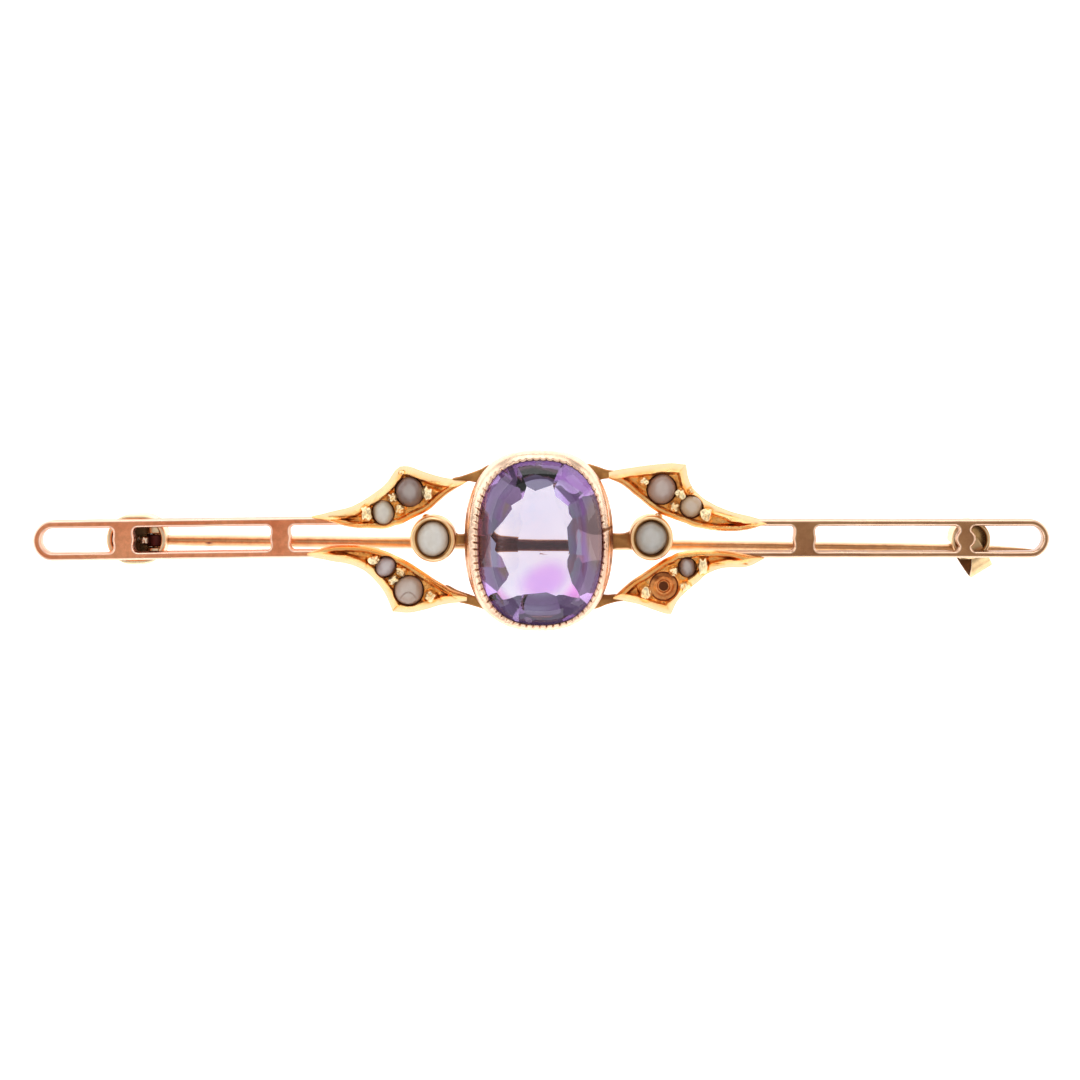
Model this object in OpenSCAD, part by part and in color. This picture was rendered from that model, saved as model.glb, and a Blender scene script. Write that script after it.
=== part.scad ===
// Antique bar brooch: openwork bar, four leaves, cushion amethyst, pearls, hinged pin.
// Millimetres. X runs along the bar, Y is up as worn, Z points to the viewer.
// z = 0 is the surface that the brooch lies on, face up, on its hinge and catch.

/* [Bar] */
// Overall length of the brooch
bar_len = 52; // [51:0.1:53]
// Height of the back of the bar above the surface
bar_back = 2.05; // [1.95:0.01:2.1]
// Thickness of the bar, back to face
bar_t = 1.1; // [1.0:0.05:1.2]
// Outer width of the left half of the bar
bar_w_left = 2.06; // [2.0:0.01:2.12]
// Outer width of the right half of the bar
bar_w_right = 1.96; // [1.9:0.01:2.02]
// Width of the rails of the left half
rail_left = 0.40; // [0.36:0.01:0.44]
// Width of the rails of the right half
rail_right = 0.33; // [0.3:0.01:0.38]
// Slope of the left half against the right half, in degrees
bar_slope = 0.75; // [0:0.05:1]
// Radius of the fillets where a cross-bar meets a rail
fillet_r = 0.24; // [0.18:0.01:0.28]

/* [Bezel] */
// Width of the bezel at its rim
bez_w = 7.28; // [7.2:0.01:7.4]
// Height of the bezel at its rim, along Y
bez_h = 9.18; // [9.1:0.01:9.3]
// Squareness of the cushion outline, 2 is an ellipse
bez_n = 2.5; // [2.3:0.05:2.7]
// Flare of the collet wall below the rim, along X
bez_flare = 0.18; // [0.05:0.01:0.2]
// Rim height above the surface
bez_top = 4.65; // [4.6:0.01:4.8]
// Underside of the bezel above the surface
bez_back = 1.7; // [1.65:0.01:1.8]

/* [Stone] */
// Width of the amethyst at its girdle
gem_w = 6.52; // [6.46:0.01:6.54]
// Length of the amethyst at its girdle, along Y
gem_h = 8.58; // [8.5:0.01:8.6]
// Height of the table above the surface
gem_table_z = 4.95; // [4.9:0.01:5.3]
// Height of the keel of the pavilion above the surface
gem_keel_z = 2.0; // [1.9:0.01:2.2]

/* [Pearl collets] */
// Outer radius of the left collet
col_r_left = 1.19; // [1.17:0.01:1.21]
// Outer radius of the right collet
col_r_right = 1.16; // [1.14:0.01:1.18]
// Wall of the collets
col_wall = 0.24; // [0.2:0.01:0.26]
// Rim of the collets above the surface
col_top = 3.9; // [3.8:0.01:4.0]

/* [Leaves] */
// Underside of the leaves above the surface
leaf_back = 2.75; // [2.65:0.01:2.85]
// Ground of the leaves inside their raised rim
leaf_ground = 3.3; // [3.25:0.01:3.35]
// Top of the raised rim of the leaves
leaf_top = 3.55; // [3.5:0.01:3.65]
// Width of the raised rim of the leaves
leaf_rim = 0.2; // [0.16:0.01:0.22]

/* [Pin] */
// Radius of the straight stem of the pin
pin_r = 0.32; // [0.3:0.01:0.33]
// Radius of the stem where its point begins
pin_r_far = 0.26; // [0.24:0.01:0.27]
// Height of the pin's axis above the surface
pin_z = 0.95; // [0.9:0.01:1.0]
// Length from the hinge axis to the point
pin_len = 45.6; // [45:0.1:45.7]

/* [Hinge] */
// Radius of the round ends of the hinge box
box_r = 1.28; // [1.25:0.01:1.3]
// Wall of the hinge box
box_wall = 0.3; // [0.26:0.01:0.32]
// Radius of the rivet
rivet_r = 0.22; // [0.2:0.01:0.23]
// Radial play between the rivet and its bores
rivet_play = 0.03; // [0.02:0.005:0.04]

/* [Catch] */
// Outer radius of the bend of the catch
catch_r = 1.0; // [0.97:0.01:1.02]
// Thickness of the strip of the catch
catch_t = 0.25; // [0.22:0.01:0.28]
// Width of the strip of the catch
catch_w = 1.32; // [1.2:0.01:1.36]
// Outer radius of the round collar of the catch
collar_r = 1.0; // [0.96:0.01:1.04]
// Turn of the catch about the viewing direction, in degrees
catch_turn = 32; // [28:1:34]

/* [Hidden] */
$fn = 48;
gap = 0.04;                 // gap between a stone and its setting
bez_c = [-0.12, 0];         // centre of the bezel
gem_c = [-0.06, -0.08];     // centre of the stone and of the opening that holds it
hinge_c = [-20.8, -0.05];   // centre of the hinge box
axis_p = [-19.9, -0.15];    // hinge axis, parallel to Y
pin_slope = 0.58;           // degrees that the stem drops towards its point
catch_c = [22.1, -0.05];    // centre of the round collar of the catch
bend_c = [22.25, -0.92];    // middle of the bend of the catch
ear_w = 0.36;               // half the space between the ears
half_len = bar_len / 2;
neck_end = 1.8;             // where the even part of the stem begins, from the axis
stem_end = 13;              // where the even part of the stem ends, from the axis
point_at = 41;              // where the point begins, from the axis
plate_t = 0.24;             // thickness of the plates inside the hinge box and the collar
plate_end = -20.3;          // where the plate of the hinge box ends, along X

// Each leaf: sections across it, from left to right.
// Columns: x of the section, y of its upper edge, y of its lower edge.
leaf_ul = [
    [-11.70, 1.20, 1.15], [-10.85, 1.40, 0.95], [-9.70, 1.70, 0.65], [-8.70, 2.25, 0.60],
    [-7.90, 2.90, 0.60], [-7.45, 3.55, 0.75], [-7.20, 3.75, 0.80], [-6.80, 3.75, 1.00],
    [-5.80, 3.40, 1.50], [-4.85, 3.15, 2.30], [-3.80, 3.05, 2.98]];
leaf_ur = [
    [3.45, 3.50, 3.15], [4.10, 3.60, 2.85], [5.10, 3.75, 2.05], [5.90, 3.85, 1.45],
    [6.70, 3.90, 1.10], [7.40, 3.85, 0.85], [7.50, 3.25, 0.80], [7.75, 2.65, 0.70],
    [8.25, 2.15, 0.60], [8.75, 1.85, 0.50], [9.65, 1.45, 0.45], [10.65, 1.20, 0.55],
    [11.60, 0.92, 0.86]];
leaf_ll = [
    [-11.95, -0.68, -0.88], [-10.70, -0.30, -1.10], [-9.70, -0.25, -1.30], [-9.05, -0.30, -1.60],
    [-8.40, -0.45, -2.20], [-7.95, -0.60, -2.85], [-7.60, -0.75, -3.70], [-6.80, -1.15, -3.75],
    [-5.80, -1.80, -3.55], [-5.15, -2.20, -3.35], [-4.50, -2.60, -3.25], [-3.80, -2.85, -3.20]];
leaf_lr = [
    [3.70, -2.95, -3.10], [4.45, -2.25, -3.20], [5.10, -1.80, -3.35], [5.75, -1.35, -3.60],
    [6.40, -0.95, -3.80], [6.65, -0.85, -3.82], [6.95, -0.70, -3.20], [7.40, -0.60, -2.70],
    [8.05, -0.55, -2.15], [8.50, -0.55, -1.75], [9.35, -0.55, -1.45], [10.50, -0.75, -1.40],
    [11.40, -0.94, -1.00]];

// Pearls on the leaves. Columns: x, y, radius.
pearl_ul_large = [-6.72, 2.46, 0.73];
pearl_ul_small = [-8.07, 1.40, 0.58];
pearl_ur_large = [6.15, 2.59, 0.75];
pearl_ur_small = [7.66, 1.70, 0.57];
pearl_ll_large = [-6.76, -2.58, 0.75];
pearl_ll_small = [-7.94, -1.38, 0.52];
pearl_lr_small = [7.47, -1.40, 0.47];
// The empty seat: x, y, radius of the seat.
seat_lr_large = [6.27, -2.38, 0.72];

// Pearls in the tube collets. Columns: x, y, radius of the pearl.
pearl_left = [-5.51, 0.07, 0.82];
pearl_right = [5.61, 0.12, 0.82];

// Arms from the leaves to the bezel. Columns: x and y at the leaf, x and y at the bezel, width.
arms = [
    [-4.30, 3.02, -2.85, 3.25, 0.50],
    [3.95, 3.28, 2.75, 3.45, 0.44],
    [-4.40, -2.85, -3.00, -3.20, 0.55],
    [4.05, -2.90, 2.80, -3.12, 0.46]];

// Cushion outline: a superellipse of half-sizes a and b and exponent n.
function cushion(a, b, n, k = 72) = [for (i = [0 : k - 1])
    let (t = 360 * i / k, c = cos(t), s = sin(t))
    [a * sign(c) * pow(abs(c), 2 / n), b * sign(s) * pow(abs(s), 2 / n)]];

// Outline of a leaf from its table: along the upper edges and back along the lower ones.
function leaf_outline(rows) = concat(
    [for (r = rows) [r[0], r[1]]],
    [for (i = [len(rows) - 1 : -1 : 0]) [rows[i][0], rows[i][2]]]);

// Window of the openwork with round corners.
module window(x0, x1, half, r) {
    for (x = [x0 + r, x1 - r], y = [-half + r, half - r]) translate([x, y]) circle(r = r);
    translate([x0, -half + r]) square([x1 - x0, 2 * (half - r)]);
    translate([x0 + r, -half]) square([x1 - x0 - 2 * r, 2 * half]);
}

// Window that runs out into a round loop end at x_end.
module loop_window(x_end, x_bar, half, r) {
    s = sign(x_bar - x_end);
    translate([x_end + s * half, 0]) circle(r = half);
    translate([min(x_end + s * half, x_bar - s * r), -half]) square([abs(x_bar - s * r - x_end - s * half), 2 * half]);
    for (y = [-half + r, half - r]) translate([x_bar - s * r, y]) circle(r = r);
    translate([min(x_bar - s * r, x_bar), -half + r]) square([r, 2 * (half - r)]);
}

module bar_left() {
    h = bar_w_left / 2;
    w = h - rail_left;
    translate([-22.5, -0.03, bar_back]) rotate([0, 0, bar_slope]) translate([22.5, 0, 0])
    linear_extrude(bar_t) {
        difference() {
            union() {
                translate([-half_len + h, 0]) circle(r = h);
                translate([-half_len + h, -h]) square([half_len - h - 9.2, 2 * h]);
            }
            loop_window(-half_len + rail_left, -21.88, w, fillet_r);
            window(-20.86, -13.83, w, fillet_r);
            window(-12.84, -8, w, fillet_r);
        }
        translate([-21.37, 0]) circle(r = 0.55);
        translate([-13.33, 0]) circle(r = 0.54);
    }
}

module bar_right() {
    h = bar_w_right / 2;
    w = h - rail_right;
    translate([0, 0.05, bar_back]) linear_extrude(bar_t) {
        difference() {
            union() {
                translate([half_len - h, 0]) circle(r = h);
                translate([8.9, -h]) square([half_len - h - 8.9, 2 * h]);
            }
            window(8, 12.94, w, fillet_r);
            window(14.02, 21.38, w, fillet_r);
            loop_window(half_len - rail_right, 22.0, w, fillet_r);
        }
        translate([13.48, 0]) circle(r = 0.58);
        translate([21.72, 0]) circle(r = 0.5);
    }
}

module seat(p) {
    translate([p[0], p[1], leaf_ground - 0.25 - gap]) cylinder(r = p[2] + gap, h = 1);
}

module leaf(rows) {
    difference() {
        translate([0, 0, leaf_back]) linear_extrude(leaf_top - leaf_back) polygon(leaf_outline(rows));
        translate([0, 0, leaf_ground]) linear_extrude(1) offset(delta = -leaf_rim) polygon(leaf_outline(rows));
    }
}

module arm(row) {
    dx = row[2] - row[0];
    dy = row[3] - row[1];
    translate([row[0], row[1], 2.45]) rotate([0, 0, atan2(dy, dx)])
        translate([-0.1, -row[4] / 2, 0]) cube([norm([dx, dy]) + 0.2, row[4], 0.62]);
}

module bezel() {
    a = bez_w / 2;
    b = bez_h / 2;
    ga = gem_w / 2;
    gb = gem_h / 2;
    difference() {
        translate([bez_c[0], bez_c[1], 0]) {
            translate([0, 0, 3.2]) linear_extrude(bez_top - 3.2) polygon(cushion(a, b, bez_n));
            translate([0, 0, bez_back]) linear_extrude(3.7 - bez_back) polygon(cushion(a + bez_flare, b + 0.02, bez_n));
        }
        translate([gem_c[0], gem_c[1], 0]) {
            // open back under the stone
            translate([0, 0, bez_back - 1]) linear_extrude(3.5 - bez_back + 1) polygon(cushion(ga - 0.1, gb - 0.1, bez_n));
            // bearing that carries the stone
            translate([0, 0, 3]) linear_extrude(1) polygon(cushion(ga - 0.26, gb - 0.26, bez_n));
            // groove of the girdle
            translate([0, 0, 3.92]) linear_extrude(0.53) polygon(cushion(ga + gap, gb + gap, bez_n));
            // lip rubbed over the crown
            translate([0, 0, 4.3]) linear_extrude(1) polygon(cushion(ga - 0.14, gb - 0.14, bez_n));
        }
    }
}

module collet(p, r) {
    translate([p[0], p[1], 0]) difference() {
        translate([0, 0, 2.2]) cylinder(r = r, h = col_top - 2.2);
        translate([0, 0, 2.62]) cylinder(r = r - col_wall, h = 3);
    }
}

module connectors() {
    translate([-4.6, -0.29, 2.35]) cube([1.1, 0.6, 0.75]);
    translate([3.4, -0.48, 2.35]) cube([1.3, 0.78, 0.75]);
    // solder between the leaves and the collets
    translate([-6.05, 1.02, 2.8]) cylinder(r = 0.32, h = 0.42);
    translate([6.15, 1.18, 2.8]) cylinder(r = 0.34, h = 0.42);
}

// Round-ended box without floor or lid, soldered to the back of the bar.
module box_outline(r) {
    d = 0.27;
    translate([-d, 0]) circle(r = r);
    translate([d, 0]) circle(r = r);
    translate([-d, -r]) square([2 * d, 2 * r]);
}

module hinge_box() {
    difference() {
        union() {
            translate([hinge_c[0], hinge_c[1], 0]) linear_extrude(bar_back + 0.15) difference() {
                box_outline(box_r);
                box_outline(box_r - box_wall);
            }
            // plate that closes the box underneath, left of the swing of the stem
            intersection() {
                translate([hinge_c[0], hinge_c[1], 0]) linear_extrude(plate_t) box_outline(box_r - box_wall / 2);
                translate([plate_end - 4, -2, -1]) cube([4, 4, 2]);
            }
            // ears that carry the rivet
            intersection() {
                translate([hinge_c[0], hinge_c[1], 0]) linear_extrude(3) box_outline(box_r - box_wall / 2);
                union() for (s = [-1, 1])
                    translate([axis_p[0] - 0.5, axis_p[1] + s * (ear_w + 0.5) - 0.5, 0.35]) cube([1, 1, 1.25]);
            }
        }
        // bore of the rivet
        translate([axis_p[0], axis_p[1] + 2, pin_z]) rotate([90, 0, 0]) cylinder(r = rivet_r + rivet_play, h = 4);
        // slot that the stem lies and swings in
        translate([axis_p[0], axis_p[1] - ear_w, -1]) cube([3, 2 * ear_w, pin_z + pin_r + 0.12 + 1]);
    }
}

// Round collar, open towards the bar, and a strip bent in a C on its lower side.
// Both are cut away where the stem lies and swings.
module catch_hook() {
    stem_y = axis_p[1] - sin(pin_slope) * (catch_c[0] - axis_p[0]);
    difference() {
        union() {
            difference() {
                translate([catch_c[0], catch_c[1], 0]) cylinder(r = collar_r, h = bar_back + 0.15);
                translate([catch_c[0], catch_c[1], -1]) cylinder(r = collar_r - 0.24, h = bar_back + 3);
            }
            // plate inside the collar, above the stem
            translate([catch_c[0], catch_c[1], 1.4]) cylinder(r = collar_r - 0.12, h = plate_t);
            translate([bend_c[0], bend_c[1], catch_r]) rotate([0, 0, catch_turn]) {
                rotate([90, 0, 90]) translate([0, 0, -catch_w / 2]) linear_extrude(catch_w) difference() {
                    circle(r = catch_r);
                    circle(r = catch_r - catch_t);
                    translate([0, -2]) square([2, 4]);
                }
                translate([-catch_w / 2, -0.02, catch_r - catch_t]) cube([catch_w, 0.75, catch_t + bar_back - 2 * catch_r + 0.1]);
                translate([-catch_w / 2, -0.02, -catch_r]) cube([catch_w, 0.3, catch_t]);
            }
        }
        // room for the stem, open downwards
        translate([catch_c[0] - 3, stem_y - pin_r_far - 0.1, -1]) cube([6, 2 * pin_r_far + 0.2, 1 + pin_z + 0.4]);
        // upper corner of the strip taken off, so that the inside of its bend shows from the front
        translate([catch_c[0] - 3, -3.2, catch_r - 0.1]) cube([3.07, 2.14, 1.7]);
    }
}

module gold_frame() {
    color([0.80, 0.58, 0.38]) difference() {
        union() {
            bar_left();
            bar_right();
            leaf(leaf_ul);
            leaf(leaf_ur);
            leaf(leaf_ll);
            leaf(leaf_lr);
            for (row = arms) arm(row);
            bezel();
            collet(pearl_left, col_r_left);
            collet(pearl_right, col_r_right);
            connectors();
            hinge_box();
            catch_hook();
        }
        seat(pearl_ul_large);
        seat(pearl_ul_small);
        seat(pearl_ur_large);
        seat(pearl_ur_small);
        seat(pearl_ll_large);
        seat(pearl_ll_small);
        seat(pearl_lr_small);
        seat(seat_lr_large);
        // pilot hole of the empty seat
        translate([seat_lr_large[0], seat_lr_large[1], 2]) cylinder(r = 0.28, h = 2);
    }
}

// Faceted stone: rings of the cushion outline, from the table down to the keel.
// Columns: height, inset of the outline.
module amethyst() {
    a = gem_w / 2;
    b = gem_h / 2;
    k = 32;
    rings = [[gem_table_z, 1.25], [gem_table_z - 0.15, 0.70], [4.28, 0.0], [4.2, 0.0], [3.2, 1.15], [gem_keel_z, 2.95]];
    pts = [for (r = rings, p = cushion(a - r[1], b - r[1], bez_n, k)) [p[0], p[1], r[0]]];
    m = len(rings);
    faces = concat(
        [[for (i = [k - 1 : -1 : 0]) i]],
        [for (j = [0 : m - 2], i = [0 : k - 1]) [j * k + i, j * k + (i + 1) % k, (j + 1) * k + (i + 1) % k]],
        [for (j = [0 : m - 2], i = [0 : k - 1]) [j * k + i, (j + 1) * k + (i + 1) % k, (j + 1) * k + i]],
        [[for (i = [0 : k - 1]) (m - 1) * k + i]]);
    color([0.62, 0.45, 0.75]) translate([gem_c[0], gem_c[1], 0]) polyhedron(points = pts, faces = faces);
}

// Half pearl on the ground of its seat.
module leaf_pearl(p) {
    z0 = leaf_ground - 0.25;
    color([0.86, 0.84, 0.80]) translate([p[0], p[1], z0]) intersection() {
        translate([0, 0, 0.08]) sphere(r = p[2]);
        cylinder(r = 2, h = 2);
    }
}

module collet_pearl(p) {
    color([0.85, 0.84, 0.82]) translate([p[0], p[1], 2.62 + gap + p[2]]) sphere(r = p[2]);
}

module collet_pearl_left() { collet_pearl(pearl_left); }
module collet_pearl_right() { collet_pearl(pearl_right); }
module leaf_pearl_ul_large() { leaf_pearl(pearl_ul_large); }
module leaf_pearl_ul_small() { leaf_pearl(pearl_ul_small); }
module leaf_pearl_ur_large() { leaf_pearl(pearl_ur_large); }
module leaf_pearl_ur_small() { leaf_pearl(pearl_ur_small); }
module leaf_pearl_ll_large() { leaf_pearl(pearl_ll_large); }
module leaf_pearl_ll_small() { leaf_pearl(pearl_ll_small); }
module leaf_pearl_lr_small() { leaf_pearl(pearl_lr_small); }

module hinge_rivet() {
    color([0.72, 0.50, 0.30]) translate([axis_p[0], hinge_c[1] + 1.06, pin_z]) rotate([90, 0, 0]) cylinder(r = rivet_r, h = 2.12);
}

// Eye, tail and tapering stem of the pin.
module brooch_pin() {
    $fn = 96;
    color([0.78, 0.56, 0.34]) translate([axis_p[0], axis_p[1], pin_z]) difference() {
        union() {
            translate([0, 0.3, 0]) rotate([90, 0, 0]) cylinder(r = 0.5, h = 0.6);
            translate([-0.62, 0, 0]) sphere(r = 0.29);
            translate([-0.62, 0, 0]) rotate([0, 90, 0]) cylinder(r = 0.22, h = 0.5);
            rotate([0, 0, -pin_slope]) rotate([0, 90, 0]) {
                // neck that widens from the eye, inside the slot of the hinge
                cylinder(r1 = pin_r - 0.06, r2 = pin_r, h = neck_end);
                translate([0, 0, neck_end]) cylinder(r = pin_r, h = stem_end - neck_end);
                translate([0, 0, stem_end]) cylinder(r1 = pin_r, r2 = pin_r_far, h = point_at - stem_end);
                translate([0, 0, point_at]) cylinder(r1 = pin_r_far, r2 = 0.03, h = pin_len - point_at);
            }
        }
        translate([0, 1, 0]) rotate([90, 0, 0]) cylinder(r = rivet_r + rivet_play, h = 2);
    }
}

gold_frame();
amethyst();
collet_pearl_left();
collet_pearl_right();
leaf_pearl_ul_large();
leaf_pearl_ul_small();
leaf_pearl_ur_large();
leaf_pearl_ur_small();
leaf_pearl_ll_large();
leaf_pearl_ll_small();
leaf_pearl_lr_small();
hinge_rivet();
brooch_pin();
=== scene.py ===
import math
import bpy
import bmesh
import numpy as np
from mathutils import Matrix, Vector, noise
from mathutils.geometry import tessellate_polygon


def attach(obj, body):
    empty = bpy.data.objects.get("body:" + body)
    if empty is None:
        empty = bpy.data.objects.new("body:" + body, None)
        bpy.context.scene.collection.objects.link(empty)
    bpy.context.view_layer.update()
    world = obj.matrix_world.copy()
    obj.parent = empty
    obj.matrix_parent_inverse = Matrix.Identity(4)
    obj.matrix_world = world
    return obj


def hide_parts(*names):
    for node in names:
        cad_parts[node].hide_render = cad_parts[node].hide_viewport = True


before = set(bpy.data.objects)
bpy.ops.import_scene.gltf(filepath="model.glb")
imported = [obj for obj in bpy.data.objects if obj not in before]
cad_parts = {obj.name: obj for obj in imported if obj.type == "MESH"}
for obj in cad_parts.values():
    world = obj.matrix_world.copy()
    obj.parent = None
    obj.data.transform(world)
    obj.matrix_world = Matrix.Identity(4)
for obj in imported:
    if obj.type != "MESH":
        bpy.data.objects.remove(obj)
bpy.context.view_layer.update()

MM = 0.001
PI = math.pi


# ------------------------------------------------------------------ numbers

def rng(seed):
    return np.random.RandomState(seed)


def nz(x, y, z=0.0, seed=0.0):
    return noise.noise(Vector((x + seed * 3.1, y + seed * 1.7, z + seed * 2.3)))


def smin(a, b, k):
    h = np.clip(0.5 + 0.5 * (b - a) / k, 0, 1)
    return b * (1 - h) + a * h - k * h * (1 - h)


def smax(a, b, k):
    return -smin(-a, -b, k)


def catmull(points, per=14, closed=False):
    """Smooth curve through the points."""
    p = [np.array(q, float) for q in points]
    n = len(p)
    out = []
    spans = n if closed else n - 1
    for i in range(spans):
        if closed:
            p0, p1, p2, p3 = p[(i - 1) % n], p[i], p[(i + 1) % n], p[(i + 2) % n]
        else:
            p1, p2 = p[i], p[i + 1]
            p0 = p[i - 1] if i > 0 else 2 * p1 - p2
            p3 = p[i + 2] if i + 2 < n else 2 * p2 - p1
        d1 = max(np.linalg.norm(p1 - p0), 1e-6) ** 0.5
        d2 = max(np.linalg.norm(p2 - p1), 1e-6) ** 0.5
        d3 = max(np.linalg.norm(p3 - p2), 1e-6) ** 0.5
        m1 = (p1 - p0) / d1 - (p2 - p0) / (d1 + d2) + (p2 - p1) / d2
        m2 = (p2 - p1) / d2 - (p3 - p1) / (d2 + d3) + (p3 - p2) / d3
        m1, m2 = m1 * d2, m2 * d2
        for j in range(per):
            t = j / per
            out.append((2 * t ** 3 - 3 * t ** 2 + 1) * p1 + (t ** 3 - 2 * t ** 2 + t) * m1
                       + (-2 * t ** 3 + 3 * t ** 2) * p2 + (t ** 3 - t ** 2) * m2)
    if not closed:
        out.append(p[-1])
    return np.array(out)


def resample(path, count, closed=False):
    """Points at even distances along a path."""
    p = np.vstack([path, path[:1]]) if closed else np.asarray(path)
    seg = np.linalg.norm(np.diff(p, axis=0), axis=1)
    s = np.concatenate([[0], np.cumsum(seg)])
    t = np.linspace(0, s[-1], count + 1)[:-1] if closed else np.linspace(0, s[-1], count)
    return np.stack([np.interp(t, s, p[:, k]) for k in range(p.shape[1])], 1)


def dist_to(path, q):
    """Distance from each point of q to a polyline."""
    a, b = path[:-1], path[1:]
    d = b - a
    l2 = np.maximum((d ** 2).sum(1), 1e-12)
    best = np.full(len(q), 1e9)
    for i in range(0, len(q), 4000):
        w = q[i:i + 4000, None, :] - a[None]
        t = np.clip((w * d[None]).sum(2) / l2, 0, 1)
        best[i:i + 4000] = np.sqrt(((w - t[..., None] * d[None]) ** 2).sum(2)).min(1)
    return best


def cushion(a, b, n, k):
    t = np.linspace(0, 2 * PI, 1440, endpoint=False)
    c, s = np.cos(t), np.sin(t)
    p = np.stack([a * np.sign(c) * np.abs(c) ** (2 / n), b * np.sign(s) * np.abs(s) ** (2 / n)], 1)
    return resample(p, k, closed=True)


def circle(cx, cy, r, k=72):
    t = np.linspace(0, 2 * PI, k, endpoint=False)
    return np.stack([cx + r * np.cos(t), cy + r * np.sin(t)], 1)


def stadium(cx, cy, d, r, k=48):
    """Two half circles of radius r, their centres 2 d apart along x."""
    right = [(cx + d + r * math.cos(a), cy + r * math.sin(a)) for a in np.linspace(-PI / 2, PI / 2, k)]
    left = [(cx - d + r * math.cos(a), cy + r * math.sin(a)) for a in np.linspace(PI / 2, 3 * PI / 2, k)]
    return np.array(right + left)


# ------------------------------------------------------------------ meshes

class Soup:
    """Vertices, faces, a painted shading value for each vertex (painted shade above zero, painted highlight below zero)
    and a material number for each face.
    """

    def __init__(self):
        self.v, self.f, self.r, self.m = [], [], [], []

    def add(self, verts, faces, painted_shading=0.0, mat=0):
        k = len(self.v)
        verts = [tuple(float(c) for c in p) for p in verts]
        self.v += verts
        rec = painted_shading if hasattr(painted_shading, "__len__") else [painted_shading] * len(verts)
        self.r += [float(x) for x in rec]
        self.f += [tuple(int(i) + k for i in f) for f in faces]
        self.m += [mat] * len(faces)
        return self

    def moved(self, matrix):
        self.v = [tuple(matrix @ Vector(p)) for p in self.v]
        return self


def piece(name, soup, mats, body="frame", nodes=(), sharp=None, weighted=False, flat=False):
    """Mesh object in metres from a soup in millimetres."""
    me = bpy.data.meshes.new(name)
    me.from_pydata([(x * MM, y * MM, z * MM) for x, y, z in soup.v], [], soup.f)
    me.update()
    # painted shade above zero and painted highlight below zero, read by the materials
    att = me.attributes.new("painted_shading", "FLOAT", "POINT")
    att.data.foreach_set("value", soup.r)
    for m in mats if isinstance(mats, (list, tuple)) else [mats]:
        me.materials.append(m)
    me.polygons.foreach_set("material_index", soup.m)
    me.validate()
    me.shade_flat() if flat else me.shade_smooth()
    if sharp is not None:
        me.set_sharp_from_angle(angle=math.radians(sharp))
    ob = bpy.data.objects.new(name, me)
    bpy.context.scene.collection.objects.link(ob)
    if weighted:
        mod = ob.modifiers.new("wn", "WEIGHTED_NORMAL")
        mod.keep_sharp = True
        mod.weight = 60
        apply_all(ob)
    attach(ob, body)
    if nodes:
        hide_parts(*nodes)
    return ob


def apply_all(ob):
    dg = bpy.context.evaluated_depsgraph_get()
    dg.update()
    new = bpy.data.meshes.new_from_object(ob.evaluated_get(dg), preserve_all_data_layers=True, depsgraph=dg)
    old = ob.data
    ob.modifiers.clear()
    ob.data = new
    new.name = ob.name
    if old.users == 0:
        bpy.data.meshes.remove(old)


def cut(soup, cutters):
    """The soup as a solid, with each cutter soup taken away."""
    def temp(s, name):
        me = bpy.data.meshes.new(name)
        me.from_pydata(s.v, [], s.f)
        me.update()
        o = bpy.data.objects.new(name, me)
        bpy.context.scene.collection.objects.link(o)
        return o
    base = temp(soup, "tmp_base")
    made = []
    for i, c in enumerate(cutters):
        o = temp(c, "tmp_cut%d" % i)
        mod = base.modifiers.new("b%d" % i, "BOOLEAN")
        mod.operation = "DIFFERENCE"
        mod.solver = "EXACT"
        mod.object = o
        made.append(o)
    dg = bpy.context.evaluated_depsgraph_get()
    dg.update()
    me = bpy.data.meshes.new_from_object(base.evaluated_get(dg))
    out = Soup()
    out.add([tuple(v.co) for v in me.vertices], [tuple(p.vertices) for p in me.polygons])
    bpy.data.meshes.remove(me)
    for o in made + [base]:
        m = o.data
        bpy.data.objects.remove(o)
        bpy.data.meshes.remove(m)
    return out


def box_soup(lo, hi):
    s = Soup()
    x0, y0, z0 = lo
    x1, y1, z1 = hi
    s.add([(x0, y0, z0), (x1, y0, z0), (x1, y1, z0), (x0, y1, z0), (x0, y0, z1), (x1, y0, z1), (x1, y1, z1), (x0, y1, z1)],
          [(0, 3, 2, 1), (4, 5, 6, 7), (0, 1, 5, 4), (1, 2, 6, 5), (2, 3, 7, 6), (3, 0, 4, 7)])
    return s


def signed_area(p):
    x, y = p[:, 0], p[:, 1]
    return 0.5 * float((x * np.roll(y, -1) - y * np.roll(x, -1)).sum())


def loop_normals(p):
    """Unit normals that point out of a counter-clockwise loop."""
    t = np.roll(p, -1, 0) - np.roll(p, 1, 0)
    n = np.stack([t[:, 1], -t[:, 0]], 1)
    return n / np.maximum(np.linalg.norm(n, axis=1, keepdims=True), 1e-9)


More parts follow.
